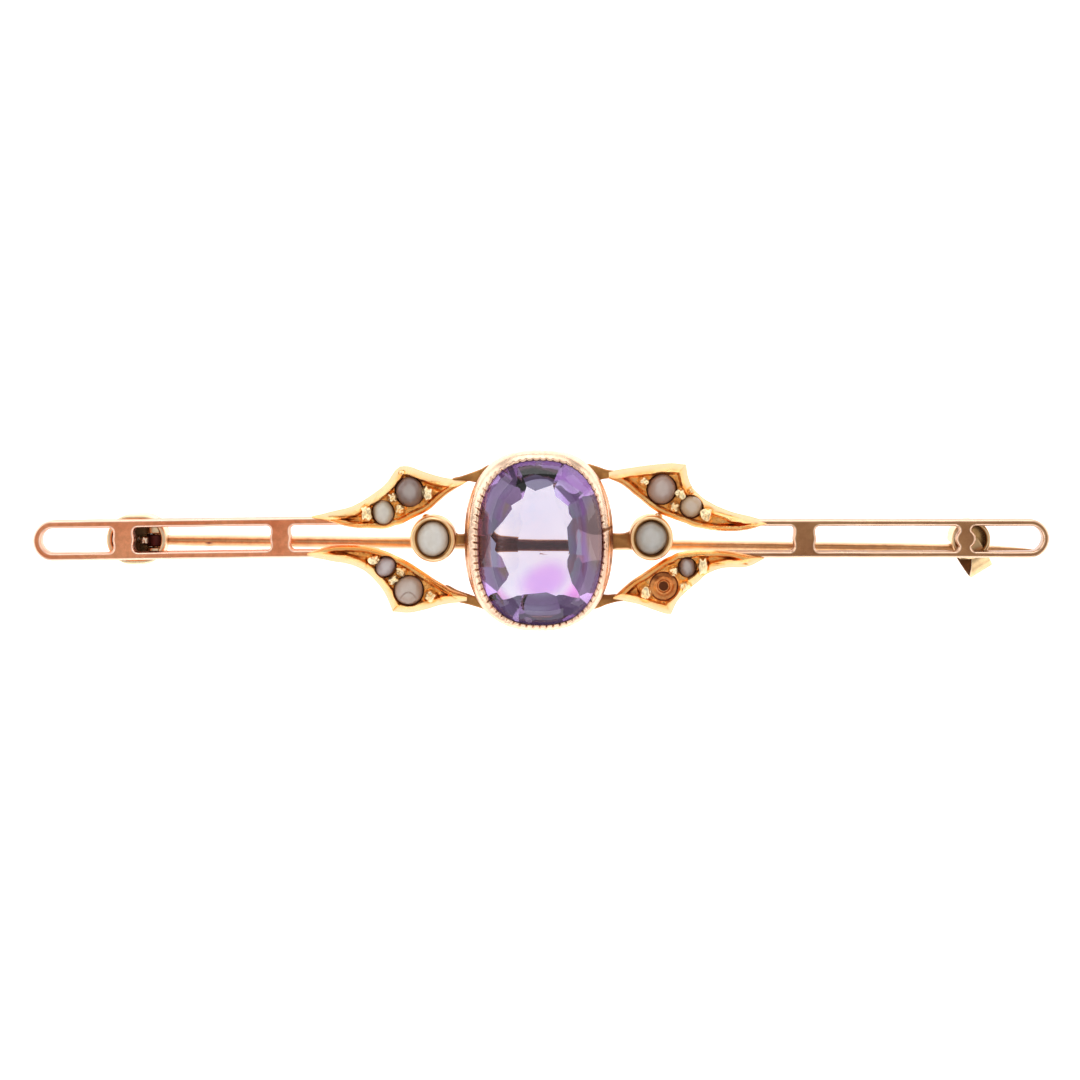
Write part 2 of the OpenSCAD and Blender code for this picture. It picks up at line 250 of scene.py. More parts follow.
def prism(loops, z0, z1, rt=0.08, rb=0.05, seg=4, painted_shading=0.0, wall_painted_shading=None, edge=0.0):
    """Solid between two heights with rounded edges. loops[0] is the outline and the others are windows."""
    s = Soup()
    tops, bots, base = [], [], 0
    for k, loop in enumerate(loops):
        p = np.asarray(loop, float)
        if (signed_area(p) > 0) == (k > 0):
            p = p[::-1]
        # normals out of the material: outline is counter-clockwise, windows clockwise
        n = loop_normals(p)
        rings = []
        for j in range(seg + 1):
            a = PI / 2 * j / seg
            rings.append((rb * (1 - math.sin(a)), z0 + rb * (1 - math.cos(a))))
        for j in range(seg + 1):
            a = PI / 2 * j / seg
            rings.append((rt * (1 - math.cos(a)), z1 - rt + rt * math.sin(a)))
        m = len(p)
        verts, rec = [], []
        for j, (inset, z) in enumerate(rings):
            q = p - n * inset
            verts += [(x, y, z) for x, y in q]
            wr = painted_shading if wall_painted_shading is None or j == 0 or j > seg + 1 else wall_painted_shading
            # edge paints a highlight along the rounded top edge; the walls take painted shade
            if j > seg + 1:
                wr = painted_shading - edge * math.sin(PI * (j - seg - 1) / seg)
            rec += [wr] * m
        faces = []
        for j in range(len(rings) - 1):
            for i in range(m):
                i2 = (i + 1) % m
                faces.append((j * m + i, j * m + i2, (j + 1) * m + i2, (j + 1) * m + i))
        b = len(s.v)
        s.add(verts, faces, rec)
        bots.append([b + i for i in range(m)])
        tops.append([b + (len(rings) - 1) * m + i for i in range(m)])
    for rows, up in ((tops, True), (bots, False)):
        idx = [i for row in rows for i in row]
        tris = tessellate_polygon([[Vector((s.v[i][0], s.v[i][1], 0)) for i in row] for row in rows])
        for t in tris:
            a, b, c = (idx[i] for i in t)
            ax, ay = s.v[a][:2]
            bx, by = s.v[b][:2]
            cx, cy = s.v[c][:2]
            area = (bx - ax) * (cy - ay) - (by - ay) * (cx - ax)
            if abs(area) < 1e-9:
                continue
            if (area > 0) != up:
                b, c = c, b
            s.f.append((a, b, c))
            s.m.append(0)
    return s


def tube(path, radii, seg=32, ry=None, closed_ends=True, painted_shading=0.0):
    """Round (or oval) tube along a path."""
    path = np.asarray(path, float)
    n = len(path)
    tang = np.gradient(path, axis=0)
    tang /= np.linalg.norm(tang, axis=1, keepdims=True)
    verts = []
    for i in range(n):
        t = tang[i]
        up = np.array([0, 0, 1.0]) if abs(t[2]) < 0.9 else np.array([0, 1.0, 0])
        a = np.cross(up, t)
        a /= np.linalg.norm(a)
        b = np.cross(t, a)
        for j in range(seg):
            w = 2 * PI * j / seg
            r2 = radii[i] if ry is None else ry[i]
            verts.append(path[i] + radii[i] * math.cos(w) * a + r2 * math.sin(w) * b)
    faces = []
    for i in range(n - 1):
        for j in range(seg):
            j2 = (j + 1) % seg
            faces.append((i * seg + j, i * seg + j2, (i + 1) * seg + j2, (i + 1) * seg + j))
    if closed_ends:
        verts.append(path[0])
        verts.append(path[-1])
        c0, c1 = n * seg, n * seg + 1
        for j in range(seg):
            j2 = (j + 1) % seg
            faces.append((c0, j2, j))
            faces.append((c1, (n - 1) * seg + j, (n - 1) * seg + j2))
    s = Soup()
    s.add(verts, faces, painted_shading)
    return s


def lathe(cx, cy, profile, k=96, wobble=None, painted_shading=None, closed=True):
    """Turns a profile of (radius, height) rows round a vertical axis."""
    s = Soup()
    m = len(profile)
    verts, rec = [], []
    for i in range(k):
        w = 2 * PI * i / k
        for j, (r, z) in enumerate(profile):
            rr = r * (1 + (wobble(w, j) if wobble else 0))
            verts.append((cx + rr * math.cos(w), cy + rr * math.sin(w), z))
            rec.append(painted_shading[j] if painted_shading is not None else 0.0)
    faces = []
    for i in range(k):
        i2 = (i + 1) % k
        for j in range(m if closed else m - 1):
            j2 = (j + 1) % m
            faces.append((i * m + j, i2 * m + j, i2 * m + j2, i * m + j2))
    s.add(verts, faces, rec)
    return s


def fix_normals(ob):
    bm = bmesh.new()
    bm.from_mesh(ob.data)
    bmesh.ops.remove_doubles(bm, verts=bm.verts, dist=1e-8)
    bmesh.ops.recalc_face_normals(bm, faces=bm.faces)
    bm.to_mesh(ob.data)
    bm.free()


def ball(centre, radii, seed=0, rough=0.0, scale=1.5, seg=40, rings=24, rot=0.0, power=2.0, painted_shading=0.0, z_cut=None, dent=None):
    """Ball with three radii and soft bumps; power above 2 makes it boxy."""
    cx, cy, cz = centre
    verts, faces, rec = [], [], []
    for i in range(rings + 1):
        th = PI * i / rings
        for j in range(seg):
            ph = 2 * PI * j / seg
            d = np.array([math.sin(th) * math.cos(ph), math.sin(th) * math.sin(ph), math.cos(th)])
            if power != 2.0:
                d = d / (np.abs(d) ** power).sum() ** (1 / power)
            g = 1 + rough * nz(d[0] * scale, d[1] * scale, d[2] * scale, seed)
            if dent is not None:
                g -= dent(d)
            p = d * np.array(radii) * g
            c, s_ = math.cos(rot), math.sin(rot)
            x, y, z = cx + p[0] * c - p[1] * s_, cy + p[0] * s_ + p[1] * c, cz + p[2]
            if z_cut is not None:
                z = max(z, z_cut)
            verts.append((x, y, z))
            rec.append(painted_shading if not callable(painted_shading) else painted_shading(d))
    for i in range(rings):
        for j in range(seg):
            j2 = (j + 1) % seg
            a, b, c, d_ = i * seg + j, i * seg + j2, (i + 1) * seg + j2, (i + 1) * seg + j
            if i == 0:
                faces.append((a, d_, c))
            elif i == rings - 1:
                faces.append((a, d_, b))
            else:
                faces.append((a, d_, c, b))
    s = Soup()
    s.add(verts, faces, rec)
    return s


def join(*soups):
    out = Soup()
    for s in soups:
        k = len(out.v)
        out.v += s.v
        out.r += s.r
        out.f += [tuple(i + k for i in f) for f in s.f]
        out.m += s.m
    return out


# ------------------------------------------------------------------ materials

def new_mat(name):
    m = bpy.data.materials.new(name)
    m.use_nodes = True
    nt = m.node_tree
    nt.nodes.clear()
    out = nt.nodes.new("ShaderNodeOutputMaterial")
    bsdf = nt.nodes.new("ShaderNodeBsdfPrincipled")
    nt.links.new(bsdf.outputs[0], out.inputs["Surface"])
    return m, nt, bsdf, out


def node(nt, kind, **sets):
    n = nt.nodes.new(kind)
    for k, v in sets.items():
        setattr(n, k, v)
    return n


def noise_tex(nt, coord, scale, detail=3.0, rough=0.55, distort=0.0, stretch=None, turn=None):
    if stretch is not None or turn is not None:
        mp = nt.nodes.new("ShaderNodeMapping")
        if stretch is not None:
            mp.inputs["Scale"].default_value = stretch
        if turn is not None:
            mp.inputs["Rotation"].default_value = turn
        nt.links.new(coord, mp.inputs["Vector"])
        coord = mp.outputs[0]
    t = nt.nodes.new("ShaderNodeTexNoise")
    t.inputs["Scale"].default_value = scale
    t.inputs["Detail"].default_value = detail
    t.inputs["Roughness"].default_value = rough
    t.inputs["Distortion"].default_value = distort
    nt.links.new(coord, t.inputs["Vector"])
    return t.outputs["Fac"]


def ramp(nt, fac, stops, interp="LINEAR"):
    r = nt.nodes.new("ShaderNodeValToRGB")
    r.color_ramp.interpolation = interp
    while len(r.color_ramp.elements) < len(stops):
        r.color_ramp.elements.new(0.5)
    for e, (pos, col) in zip(r.color_ramp.elements, stops):
        e.position = pos
        e.color = (*col, 1.0) if hasattr(col, "__len__") else (col, col, col, 1.0)
    nt.links.new(fac, r.inputs[0])
    return r.outputs[0]


def mathn(nt, op, a, b=None, clamp=False):
    n = nt.nodes.new("ShaderNodeMath")
    n.operation = op
    n.use_clamp = clamp
    for i, x in enumerate((a, b)):
        if x is None:
            continue
        if isinstance(x, (int, float)):
            n.inputs[i].default_value = x
        else:
            nt.links.new(x, n.inputs[i])
    return n.outputs[0]


def mix_col(nt, fac, a, b):
    n = nt.nodes.new("ShaderNodeMix")
    n.data_type = "RGBA"
    for sock, x in ((n.inputs[0], fac), (n.inputs[6], a), (n.inputs[7], b)):
        if isinstance(x, (int, float)):
            sock.default_value = x
        elif isinstance(x, tuple):
            sock.default_value = (*x, 1.0)
        else:
            nt.links.new(x, sock)
    return n.outputs[2]


def gold(name, light, deep, tarnish_and_shade=(0.16, 0.065, 0.022), rough=(0.2, 0.36), patch=420, patch_bias=0.5,
         grime=0.0, bump=1.0, scratch=1.0, seed=0.0, highlight_tone=(1.0, 0.80, 0.64), mid=None):
    """Worn gold: two alloy tones in soft patches, tarnish speckle and random dark blots, painted brown shade and a
    painted pale highlight from the painted shading value, fine scratches and dents.
    """
    m, nt, bsdf, out = new_mat(name)
    tc = nt.nodes.new("ShaderNodeTexCoord")
    mp = nt.nodes.new("ShaderNodeMapping")
    mp.inputs["Location"].default_value = (seed * 0.013, seed * 0.007, seed * 0.011)
    nt.links.new(tc.outputs["Object"], mp.inputs["Vector"])
    co = mp.outputs[0]
    big = noise_tex(nt, co, patch, 3, 0.6, 0.4)
    tone = ramp(nt, big, [(patch_bias - 0.17, deep), (patch_bias + 0.17, light)])
    fine = noise_tex(nt, co, 3600, 4, 0.65)
    tone = mix_col(nt, mathn(nt, "MULTIPLY", ramp(nt, fine, [(0.35, 0.0), (0.7, 1.0)]), 0.28), tone, tarnish_and_shade)
    att = nt.nodes.new("ShaderNodeAttribute")
    att.attribute_name = "painted_shading"
    blot = noise_tex(nt, co, 1700, 3, 0.6)
    edge = mathn(nt, "MULTIPLY", mathn(nt, "SUBTRACT", blot, 0.5), 0.9)
    # painted shade from the mesh value, plus random dark blots
    dirt_and_shade = mathn(nt, "ADD", att.outputs["Fac"], edge)
    dirt_and_shade = mathn(nt, "ADD", dirt_and_shade, grime)
    if mid is not None:
        # the painted shade in the hollows turns orange before it turns brown
        tone = mix_col(nt, ramp(nt, dirt_and_shade, [(0.04, 0.0), (0.36, 1.0)], "EASE"), tone, mid)
    dirt_and_shade = ramp(nt, dirt_and_shade, [(0.18 if mid is None else 0.38, 0.0), (0.82, 1.0)], "EASE")
    col = mix_col(nt, dirt_and_shade, tone, tarnish_and_shade)
    # painted highlight: the pale tone where the painted shading value is below zero
    painted_highlight = mathn(nt, "MULTIPLY", att.outputs["Fac"], -1.0, clamp=True)
    col = mix_col(nt, painted_highlight, col, highlight_tone)
    nt.links.new(col, bsdf.inputs["Base Color"])
    bsdf.inputs["Metallic"].default_value = 1.0
    rn = noise_tex(nt, co, 900, 4, 0.6)
    rr = ramp(nt, rn, [(0.3, rough[0]), (0.72, rough[1])])
    rr = mathn(nt, "ADD", rr, mathn(nt, "MULTIPLY", dirt_and_shade, 0.22), clamp=True)
    nt.links.new(rr, bsdf.inputs["Roughness"])
    # heights in metres
    sc1 = noise_tex(nt, co, 1000, 2, 0.5, 0.3, stretch=(0.9, 26.0, 8.0), turn=(0, 0, 0.35))
    sc2 = noise_tex(nt, co, 1000, 2, 0.5, 0.3, stretch=(22.0, 1.1, 8.0), turn=(0, 0, -0.5))
    dents = noise_tex(nt, co, 1300, 2, 0.5)
    h = mathn(nt, "MULTIPLY", dents, 4.2e-6 * bump)
    h = mathn(nt, "ADD", h, mathn(nt, "MULTIPLY", fine, 1.1e-6 * bump))
    h = mathn(nt, "ADD", h, mathn(nt, "MULTIPLY", sc1, 0.55e-6 * scratch))
    h = mathn(nt, "ADD", h, mathn(nt, "MULTIPLY", sc2, 0.4e-6 * scratch))
    b = nt.nodes.new("ShaderNodeBump")
    b.inputs["Strength"].default_value = 1.0
    b.inputs["Distance"].default_value = 1.0
    nt.links.new(h, b.inputs["Height"])
    nt.links.new(b.outputs[0], bsdf.inputs["Normal"])
    return m


def pearl_mat(name, body, side, dark, seed=0.0, rough=0.3):
    """Half pearl: nacre with a soft lustre, mottled body colour, a painted highlight in the middle and painted shade
    towards the rim.
    """
    m, nt, bsdf, out = new_mat(name)
    tc = nt.nodes.new("ShaderNodeTexCoord")
    mp = nt.nodes.new("ShaderNodeMapping")
    mp.inputs["Location"].default_value = (seed * 0.017, seed * 0.009, seed * 0.005)
    nt.links.new(tc.outputs["Object"], mp.inputs["Vector"])
    co = mp.outputs[0]
    n1 = noise_tex(nt, co, 900, 3, 0.55, 0.5)
    n2 = noise_tex(nt, co, 5200, 3, 0.6)
    lw = nt.nodes.new("ShaderNodeLayerWeight")
    lw.inputs["Blend"].default_value = 0.38
    tone = ramp(nt, n1, [(0.36, side), (0.60, body)])
    # painted highlight in the middle of the pearl, where it faces the viewer
    heart = ramp(nt, lw.outputs["Facing"], [(0.0, 1.0), (0.16, 0.0)], "EASE")
    tone = mix_col(nt, mathn(nt, "MULTIPLY", ramp(nt, n2, [(0.3, 0.0), (0.75, 1.0)]), 0.16), tone, dark)
    # painted shade towards the rim
    rim = ramp(nt, lw.outputs["Facing"], [(0.10, 0.0), (0.45, 0.42), (0.85, 0.95)])
    tone = mix_col(nt, mathn(nt, "MULTIPLY", heart, 0.30), tone, (0.80, 0.76, 0.72))
    tone = mix_col(nt, rim, tone, dark)
    # painted shade from the mesh value, along the crack
    att = nt.nodes.new("ShaderNodeAttribute")
    att.attribute_name = "painted_shading"
    tone = mix_col(nt, att.outputs["Fac"], tone, dark)
    nt.links.new(tone, bsdf.inputs["Base Color"])
    bsdf.inputs["Roughness"].default_value = rough
    bsdf.inputs["Specular IOR Level"].default_value = 0.55
    bsdf.inputs["Coat Weight"].default_value = 0.35
    bsdf.inputs["Coat Roughness"].default_value = 0.16
    bsdf.inputs["Subsurface Weight"].default_value = 0.18
    bsdf.inputs["Subsurface Radius"].default_value = (0.5, 0.35, 0.25)
    bsdf.inputs["Subsurface Scale"].default_value = 0.0006
    h = mathn(nt, "MULTIPLY", n2, 1.6e-6)
    h = mathn(nt, "ADD", h, mathn(nt, "MULTIPLY", n1, 7e-6))
    b = nt.nodes.new("ShaderNodeBump")
    b.inputs["Distance"].default_value = 1.0
    nt.links.new(h, b.inputs["Height"])
    nt.links.new(b.outputs[0], bsdf.inputs["Normal"])
    return m


M_BAR_L = gold("gold_bar_left", (0.98, 0.40, 0.20), (0.80, 0.23, 0.10), rough=(0.24, 0.40), patch=260, seed=1, highlight_tone=(1.0, 0.74, 0.58))
M_BAR_R = gold("gold_bar_right", (0.52, 0.27, 0.12), (0.34, 0.14, 0.065), rough=(0.22, 0.38), patch=240, seed=2, highlight_tone=(1.0, 0.70, 0.50))
M_LEAF = gold("gold_leaf", (1.00, 0.66, 0.26), (0.95, 0.42, 0.12), tarnish_and_shade=(0.32, 0.10, 0.026), rough=(0.22, 0.38), patch=620, seed=3, bump=1.6,
              highlight_tone=(0.70, 0.49, 0.28), mid=(1.0, 0.42, 0.10))
M_SEAT = gold("gold_seat", (0.98, 0.40, 0.13), (0.80, 0.25, 0.07), tarnish_and_shade=(0.16, 0.05, 0.02), rough=(0.28, 0.42), patch=620, seed=13, bump=1.3)
M_GRAIN = gold("gold_grain", (1.0, 0.86, 0.55), (0.98, 0.68, 0.34), tarnish_and_shade=(0.52, 0.26, 0.09), rough=(0.24, 0.40), patch=1100, seed=4, bump=2.0)
M_BEZEL = gold("gold_bezel", (1.00, 0.73, 0.54), (0.98, 0.64, 0.45), tarnish_and_shade=(0.24, 0.10, 0.045), rough=(0.20, 0.34), patch=500, seed=5,
               highlight_tone=(1.0, 0.90, 0.82))
# its brown tone colours the painted shade in the gap round the pearl
M_COLLET = gold("gold_collet", (1.00, 0.66, 0.30), (0.95, 0.52, 0.20), tarnish_and_shade=(0.60, 0.30, 0.12), rough=(0.26, 0.40), patch=500, seed=6,
                highlight_tone=(1.0, 0.84, 0.58))
M_ARM = gold("gold_arm", (0.72, 0.35, 0.11), (0.30, 0.11, 0.035), rough=(0.3, 0.46), patch=700, seed=7, grime=0.05, highlight_tone=(0.9, 0.55, 0.28))
M_HINGE = gold("gold_hinge", (1.0, 0.76, 0.46), (0.82, 0.54, 0.28), tarnish_and_shade=(0.44, 0.27, 0.13), rough=(0.24, 0.4), patch=600, seed=8,
               highlight_tone=(1.0, 0.86, 0.62))
M_CATCH = gold("gold_catch", (0.86, 0.56, 0.25), (0.70, 0.38, 0.14), tarnish_and_shade=(0.13, 0.055, 0.022), rough=(0.22, 0.38), patch=600, seed=9,
               highlight_tone=(1.0, 0.88, 0.64))
M_PIN = gold("gold_pin", (0.88, 0.52, 0.26), (0.66, 0.33, 0.14), tarnish_and_shade=(0.17, 0.05, 0.045), rough=(0.28, 0.42), patch=300, seed=10,
             highlight_tone=(1.0, 0.80, 0.62))
# paler gold for the tail: a painted highlight on the ball deep in the box
M_TAIL = gold("gold_tail", (1.0, 0.82, 0.55), (0.95, 0.68, 0.38), tarnish_and_shade=(0.30, 0.15, 0.06), rough=(0.24, 0.36), patch=900, seed=15,
              highlight_tone=(1.0, 0.88, 0.70))

# ------------------------------------------------------------------ bars

FIL = 0.24


def end_points(x, w, r, side, bulge=None, rnd=False):
    """Points of one end of a window from its upper rail to its lower rail. side is +1 for the right end."""
    pts = []
    if rnd:
        for a in np.linspace(PI / 2, -PI / 2, 49):
            pts.append((x - side * w + side * w * math.cos(a), w * math.sin(a)))
        return pts
    for a in np.linspace(PI / 2, 0, 13):
        pts.append((x - side * r + side * r * math.cos(a), w - r + r * math.sin(a)))
    for y in np.linspace(w - r, -w + r, 21)[1:-1]:
        pts.append((x, y))
    for a in np.linspace(0, -PI / 2, 13):
        pts.append((x - side * r + side * r * math.cos(a), -w + r + r * math.sin(a)))
    if bulge:
        cx, rad = bulge
        out = []
        for px, py in pts:
            if abs(py) < rad:
                bx = cx - side * math.sqrt(rad * rad - py * py)
                k = 0.05
                if side > 0:
                    h = min(max(0.5 + 0.5 * (bx - px) / k, 0), 1)
                    px = bx * (1 - h) + px * h - k * h * (1 - h)
                else:
                    h = min(max(0.5 + 0.5 * (px - bx) / k, 0), 1)
                    px = bx * (1 - h) + px * h + k * h * (1 - h)
            out.append((px, py))
        pts = out
    return pts


def straight(a, b, step=0.35):
    n = max(2, int(math.hypot(b[0] - a[0], b[1] - a[1]) / step))
    return [(a[0] + (b[0] - a[0]) * i / n, a[1] + (b[1] - a[1]) * i / n) for i in range(1, n)]


def window(x0, x1, w, b0=None, b1=None, round0=False, round1=False):
    right = end_points(x1, w, FIL, 1, b1, round1)
    left = end_points(x0, w, FIL, -1, b0, round0)[::-1]
    return np.array(right + straight(right[-1], left[0]) + left + straight(left[-1], right[0]))


def bar_outline(side, x_far, x_in, h, w, x_bar, bulge):
    """Outline of one half of the bar: round far end, and a mouth between the rails at its inner end."""
    s = side
    arc = [(x_far - s * h + s * h * math.cos(a), h * math.sin(a)) for a in np.linspace(PI / 2, -PI / 2, 65)]
    mouth = end_points(x_bar, w, FIL, s, bulge)
    pts = arc + straight(arc[-1], (x_in, -h)) + [(x_in, -h)] + straight((x_in, -h), (x_in, -w), 0.1) + [(x_in, -w)]
    low = mouth[::-1]
    pts += straight((x_in, -w), low[0]) + low + straight(low[-1], (x_in, w)) + [(x_in, w)]
    pts += straight((x_in, w), (x_in, h), 0.1) + [(x_in, h)] + straight((x_in, h), arc[0])
    return np.array(pts)


def waver(loop, seed, amp=0.012):
    """Hand-made unevenness of an edge."""
    n = loop_normals(loop if signed_area(loop) > 0 else loop[::-1])
    if signed_area(loop) < 0:
        n = n[::-1]
    d = np.array([amp * (nz(x * 0.55, y * 0.8, 0, seed) * 1.3 + 0.6 * nz(x * 1.9, y * 1.9, 1, seed)) for x, y in loop])
    return loop + n * d[:, None]


def bar(name, side, mat, half, w, place, angle, wins, outline, seed):
    loops = [waver(outline, seed)] + [waver(l, seed + 1 + i) for i, l in enumerate(wins)]
    c, s_ = math.cos(angle), math.sin(angle)
    px, py, about = place

    def put(l):
        q = l - np.array([about, 0])
        return np.stack([q[:, 0] * c - q[:, 1] * s_ + px, q[:, 0] * s_ + q[:, 1] * c + py], 1)
    # painted shade on the walls and a painted highlight along the rounded top edge
    soup = prism([put(l) for l in loops], 2.05, 3.15, rt=0.14, rb=0.06, seg=6, wall_painted_shading=0.05, edge=0.85)
    return piece(name, soup, mat, nodes=("gold_frame",), weighted=True)


hl, wl = 1.03, 0.63
bar("bar_left", -1, M_BAR_L, hl, wl, (-22.5, -0.03, -22.5), math.radians(0.75),
    [window(-25.6, -21.88, wl, None, (-21.37, 0.55), round0=True),
     window(-20.86, -13.83, wl, (-21.37, 0.55), (-13.33, 0.54))],
    bar_outline(-1, -26.0, -9.2, hl, wl, -12.84, (-13.33, 0.54)), 11)
hr, wr = 0.98, 0.65
bar("bar_right", 1, M_BAR_R, hr, wr, (0, 0.05, 0), 0.0,
    [window(14.02, 21.38, wr, (13.48, 0.58), (21.72, 0.5)),
     window(22.0, 25.67, wr, (21.72, 0.5), None, round1=True)],
    bar_outline(1, 26.0, 8.9, hr, wr, 12.94, (13.48, 0.58)), 31)

# ------------------------------------------------------------------ leaves

# Columns: x of the section, y of its upper edge, y of its lower edge.
LEAF_UL = [
    [-11.70, 1.20, 1.15], [-10.85, 1.40, 0.95], [-9.70, 1.70, 0.65], [-8.70, 2.25, 0.60],
    [-7.90, 2.90, 0.60], [-7.45, 3.55, 0.75], [-7.20, 3.75, 0.80], [-6.80, 3.75, 1.00],
    [-5.80, 3.40, 1.50], [-4.85, 3.15, 2.30], [-3.80, 3.05, 2.98]]
LEAF_UR = [
    [3.45, 3.50, 3.15], [4.10, 3.60, 2.85], [5.10, 3.75, 2.05], [5.90, 3.85, 1.45],
    [6.70, 3.90, 1.10], [7.40, 3.85, 0.85], [7.50, 3.25, 0.80], [7.75, 2.65, 0.70],
    [8.25, 2.15, 0.60], [8.75, 1.85, 0.50], [9.65, 1.45, 0.45], [10.65, 1.20, 0.55],
    [11.60, 0.92, 0.86]]
LEAF_LL = [
    [-11.95, -0.68, -0.88], [-10.70, -0.30, -1.10], [-9.70, -0.25, -1.30], [-9.05, -0.30, -1.60],
    [-8.40, -0.45, -2.20], [-7.95, -0.60, -2.85], [-7.60, -0.75, -3.70], [-6.80, -1.15, -3.75],
    [-5.80, -1.80, -3.55], [-5.15, -2.20, -3.35], [-4.50, -2.60, -3.25], [-3.80, -2.85, -3.20]]
LEAF_LR = [
    [3.70, -2.95, -3.10], [4.45, -2.25, -3.20], [5.10, -1.80, -3.35], [5.75, -1.35, -3.60],
    [6.40, -0.95, -3.80], [6.65, -0.85, -3.82], [6.95, -0.70, -3.20], [7.40, -0.60, -2.70],
    [8.05, -0.55, -2.15], [8.50, -0.55, -1.75], [9.35, -0.55, -1.45], [10.50, -0.75, -1.40],
    [11.40, -0.94, -1.00]]


def edge_curve(points, corner):
    """Smooth edge with one sharp corner."""
    if corner is None:
        return catmull(points, 24)
    a = catmull(points[:corner + 1], 24)
    b = catmull(points[corner:], 24)
    return np.vstack([a[:-1], b])


def leaf(name, rows, corner, outer, seats, grains, lines, seed, mats=None, flat_lines=(), nu=280, nv=76, extra=None):
    """Leaf with a wide sloping outer rim, a narrow inner rim and a sunk ground.

    seats: x, y, radius of the pearl. grains: x, y, width, height, turn, top.
    lines: x0, y0, x1, y1, half width, depth of an engraved line.
    """
    top_pts = [(r[0], r[1]) for r in rows]
    bot_pts = [(r[0], r[2]) for r in rows]
    top = edge_curve(top_pts, corner if outer == "top" else None)
    bot = edge_curve(bot_pts, corner if outer == "bottom" else None)
    T, B = resample(top, nu), resample(bot, nu)
    # a slight wobble along both edges
    wob = 0.014
    for P, sd in ((T, seed), (B, seed + 5)):
        for i in range(nu):
            P[i] += wob * np.array([nz(P[i][0] * 1.6, P[i][1] * 1.6, 0, sd), nz(P[i][0] * 1.6, P[i][1] * 1.6, 4, sd)])
    w = np.linspace(0, 1, nv)
    v = w + 0.11 * np.sin(2 * PI * w) * -1.0
    v = np.clip((v - v[0]) / (v[-1] - v[0]), 0, 1)
    G = T[:, None, :] * (1 - v)[None, :, None] + B[:, None, :] * v[None, :, None]
    q = G.reshape(-1, 2)
    dt, db = dist_to(T, q), dist_to(B, q)
    do, di = (dt, db) if outer == "top" else (db, dt)
    n1 = np.array([nz(x * 2.2, y * 2.2, 0, seed + 1) for x, y in q])
    n2 = np.array([nz(x * 6.0, y * 6.0, 0, seed + 2) for x, y in q])
    wo = 0.40 + 0.05 * n1
    wi = 0.24 + 0.03 * n1
    up_o = 2.98 + 0.55 * np.clip(do / wo, 0, 1) ** 0.80
    up_i = 3.26 + 0.26 * np.sin(np.clip(di / 0.15, 0, 1) * PI / 2)
    fall_o = 3.535 - np.clip((do - wo) / 0.09, 0, None) * 0.25
    fall_i = 3.525 - np.clip((di - wi) / 0.09, 0, None) * 0.25
    ground = 3.27 + 0.035 * n1 + 0.036 * n2
    inner = smax(smax(fall_o, fall_i, 0.03), ground, 0.03)
    z = smin(smin(up_o, up_i, 0.03), inner, 0.025)
    # painted shade over the low ground, mottled by noise
    rec = np.clip((3.40 - z) / 0.2, 0, 1) * np.clip((do - 0.36) / 0.08, 0, 1) * np.clip((di - 0.2) / 0.08, 0, 1) * (0.50 + 0.5 * n2)
    # painted shade in the channel along the foot of both rims
    rec += (0.26 + 0.5 * n1) * np.exp(-((do - wo - 0.10) / 0.05) ** 2) * (di > 0.25)
    rec += (0.38 + 0.6 * n1) * np.exp(-((di - wi - 0.09) / 0.05) ** 2) * (do > 0.4)
    # painted shade dulls the inner rim and the inner side of the outer one, and a painted highlight makes the outer rim
    # pale along its edge
    rec += 0.24 * np.exp(-((di - 0.13) / 0.09) ** 2) * (do > 0.35)
    rec += (0.20 + 0.5 * n1) * np.exp(-((do - 0.34) / 0.08) ** 2) * (di > 0.25)
    rec -= (1.0 + 0.2 * n1) * np.clip(1.35 - do / 0.36, 0, 1) * np.clip(di / 0.22, 0, 1)
    for x, y, rp in seats:
        rr = np.hypot(q[:, 0] - x, q[:, 1] - y)
        cup = 3.12 + np.clip(rr - (rp - 0.01), 0, None) * 4.5
        z = smin(z, cup, 0.03)
        # painted shade in the ring round the pearl
        g = np.clip(1 - (rr - rp + 0.01) / 0.09, 0, 1)
        rec = np.maximum(rec, rec * (1 - g) + 0.95 * g)
    for x0, y0, x1, y1, hw, dep in lines:
        mx, my = (x0 + x1) / 2, (y0 + y1) / 2
        ln = math.hypot(x1 - x0, y1 - y0)
        bow = 0.05 * ln * nz(x0, y0, 2, seed)
        path = catmull([(x0, y0), (mx - (y1 - y0) / ln * bow, my + (x1 - x0) / ln * bow), (x1, y1)], 8)
        d = dist_to(path, q)
        along = np.clip(((q[:, 0] - x0) * (x1 - x0) + (q[:, 1] - y0) * (y1 - y0)) / ln ** 2, 0, 1)
        g = np.exp(-(d / (hw * (0.75 + 0.5 * (1 + n2) * 0.5))) ** 2) * (0.35 + 0.65 * np.sin(PI * np.clip(along, 0.08, 0.92)))
        z = z - dep * g
        # painted shade in the engraved line
        rec = np.maximum(rec, rec * (1 - g) + 0.72 * g)
    for g_ in grains:
        x, y, gw, gh = g_[:4]
        rr = np.hypot((q[:, 0] - x) / (gw / 2), (q[:, 1] - y) / (gh / 2))
        g = np.exp(-((rr - 1.15) / 0.28) ** 2)
        z = z - 0.04 * g
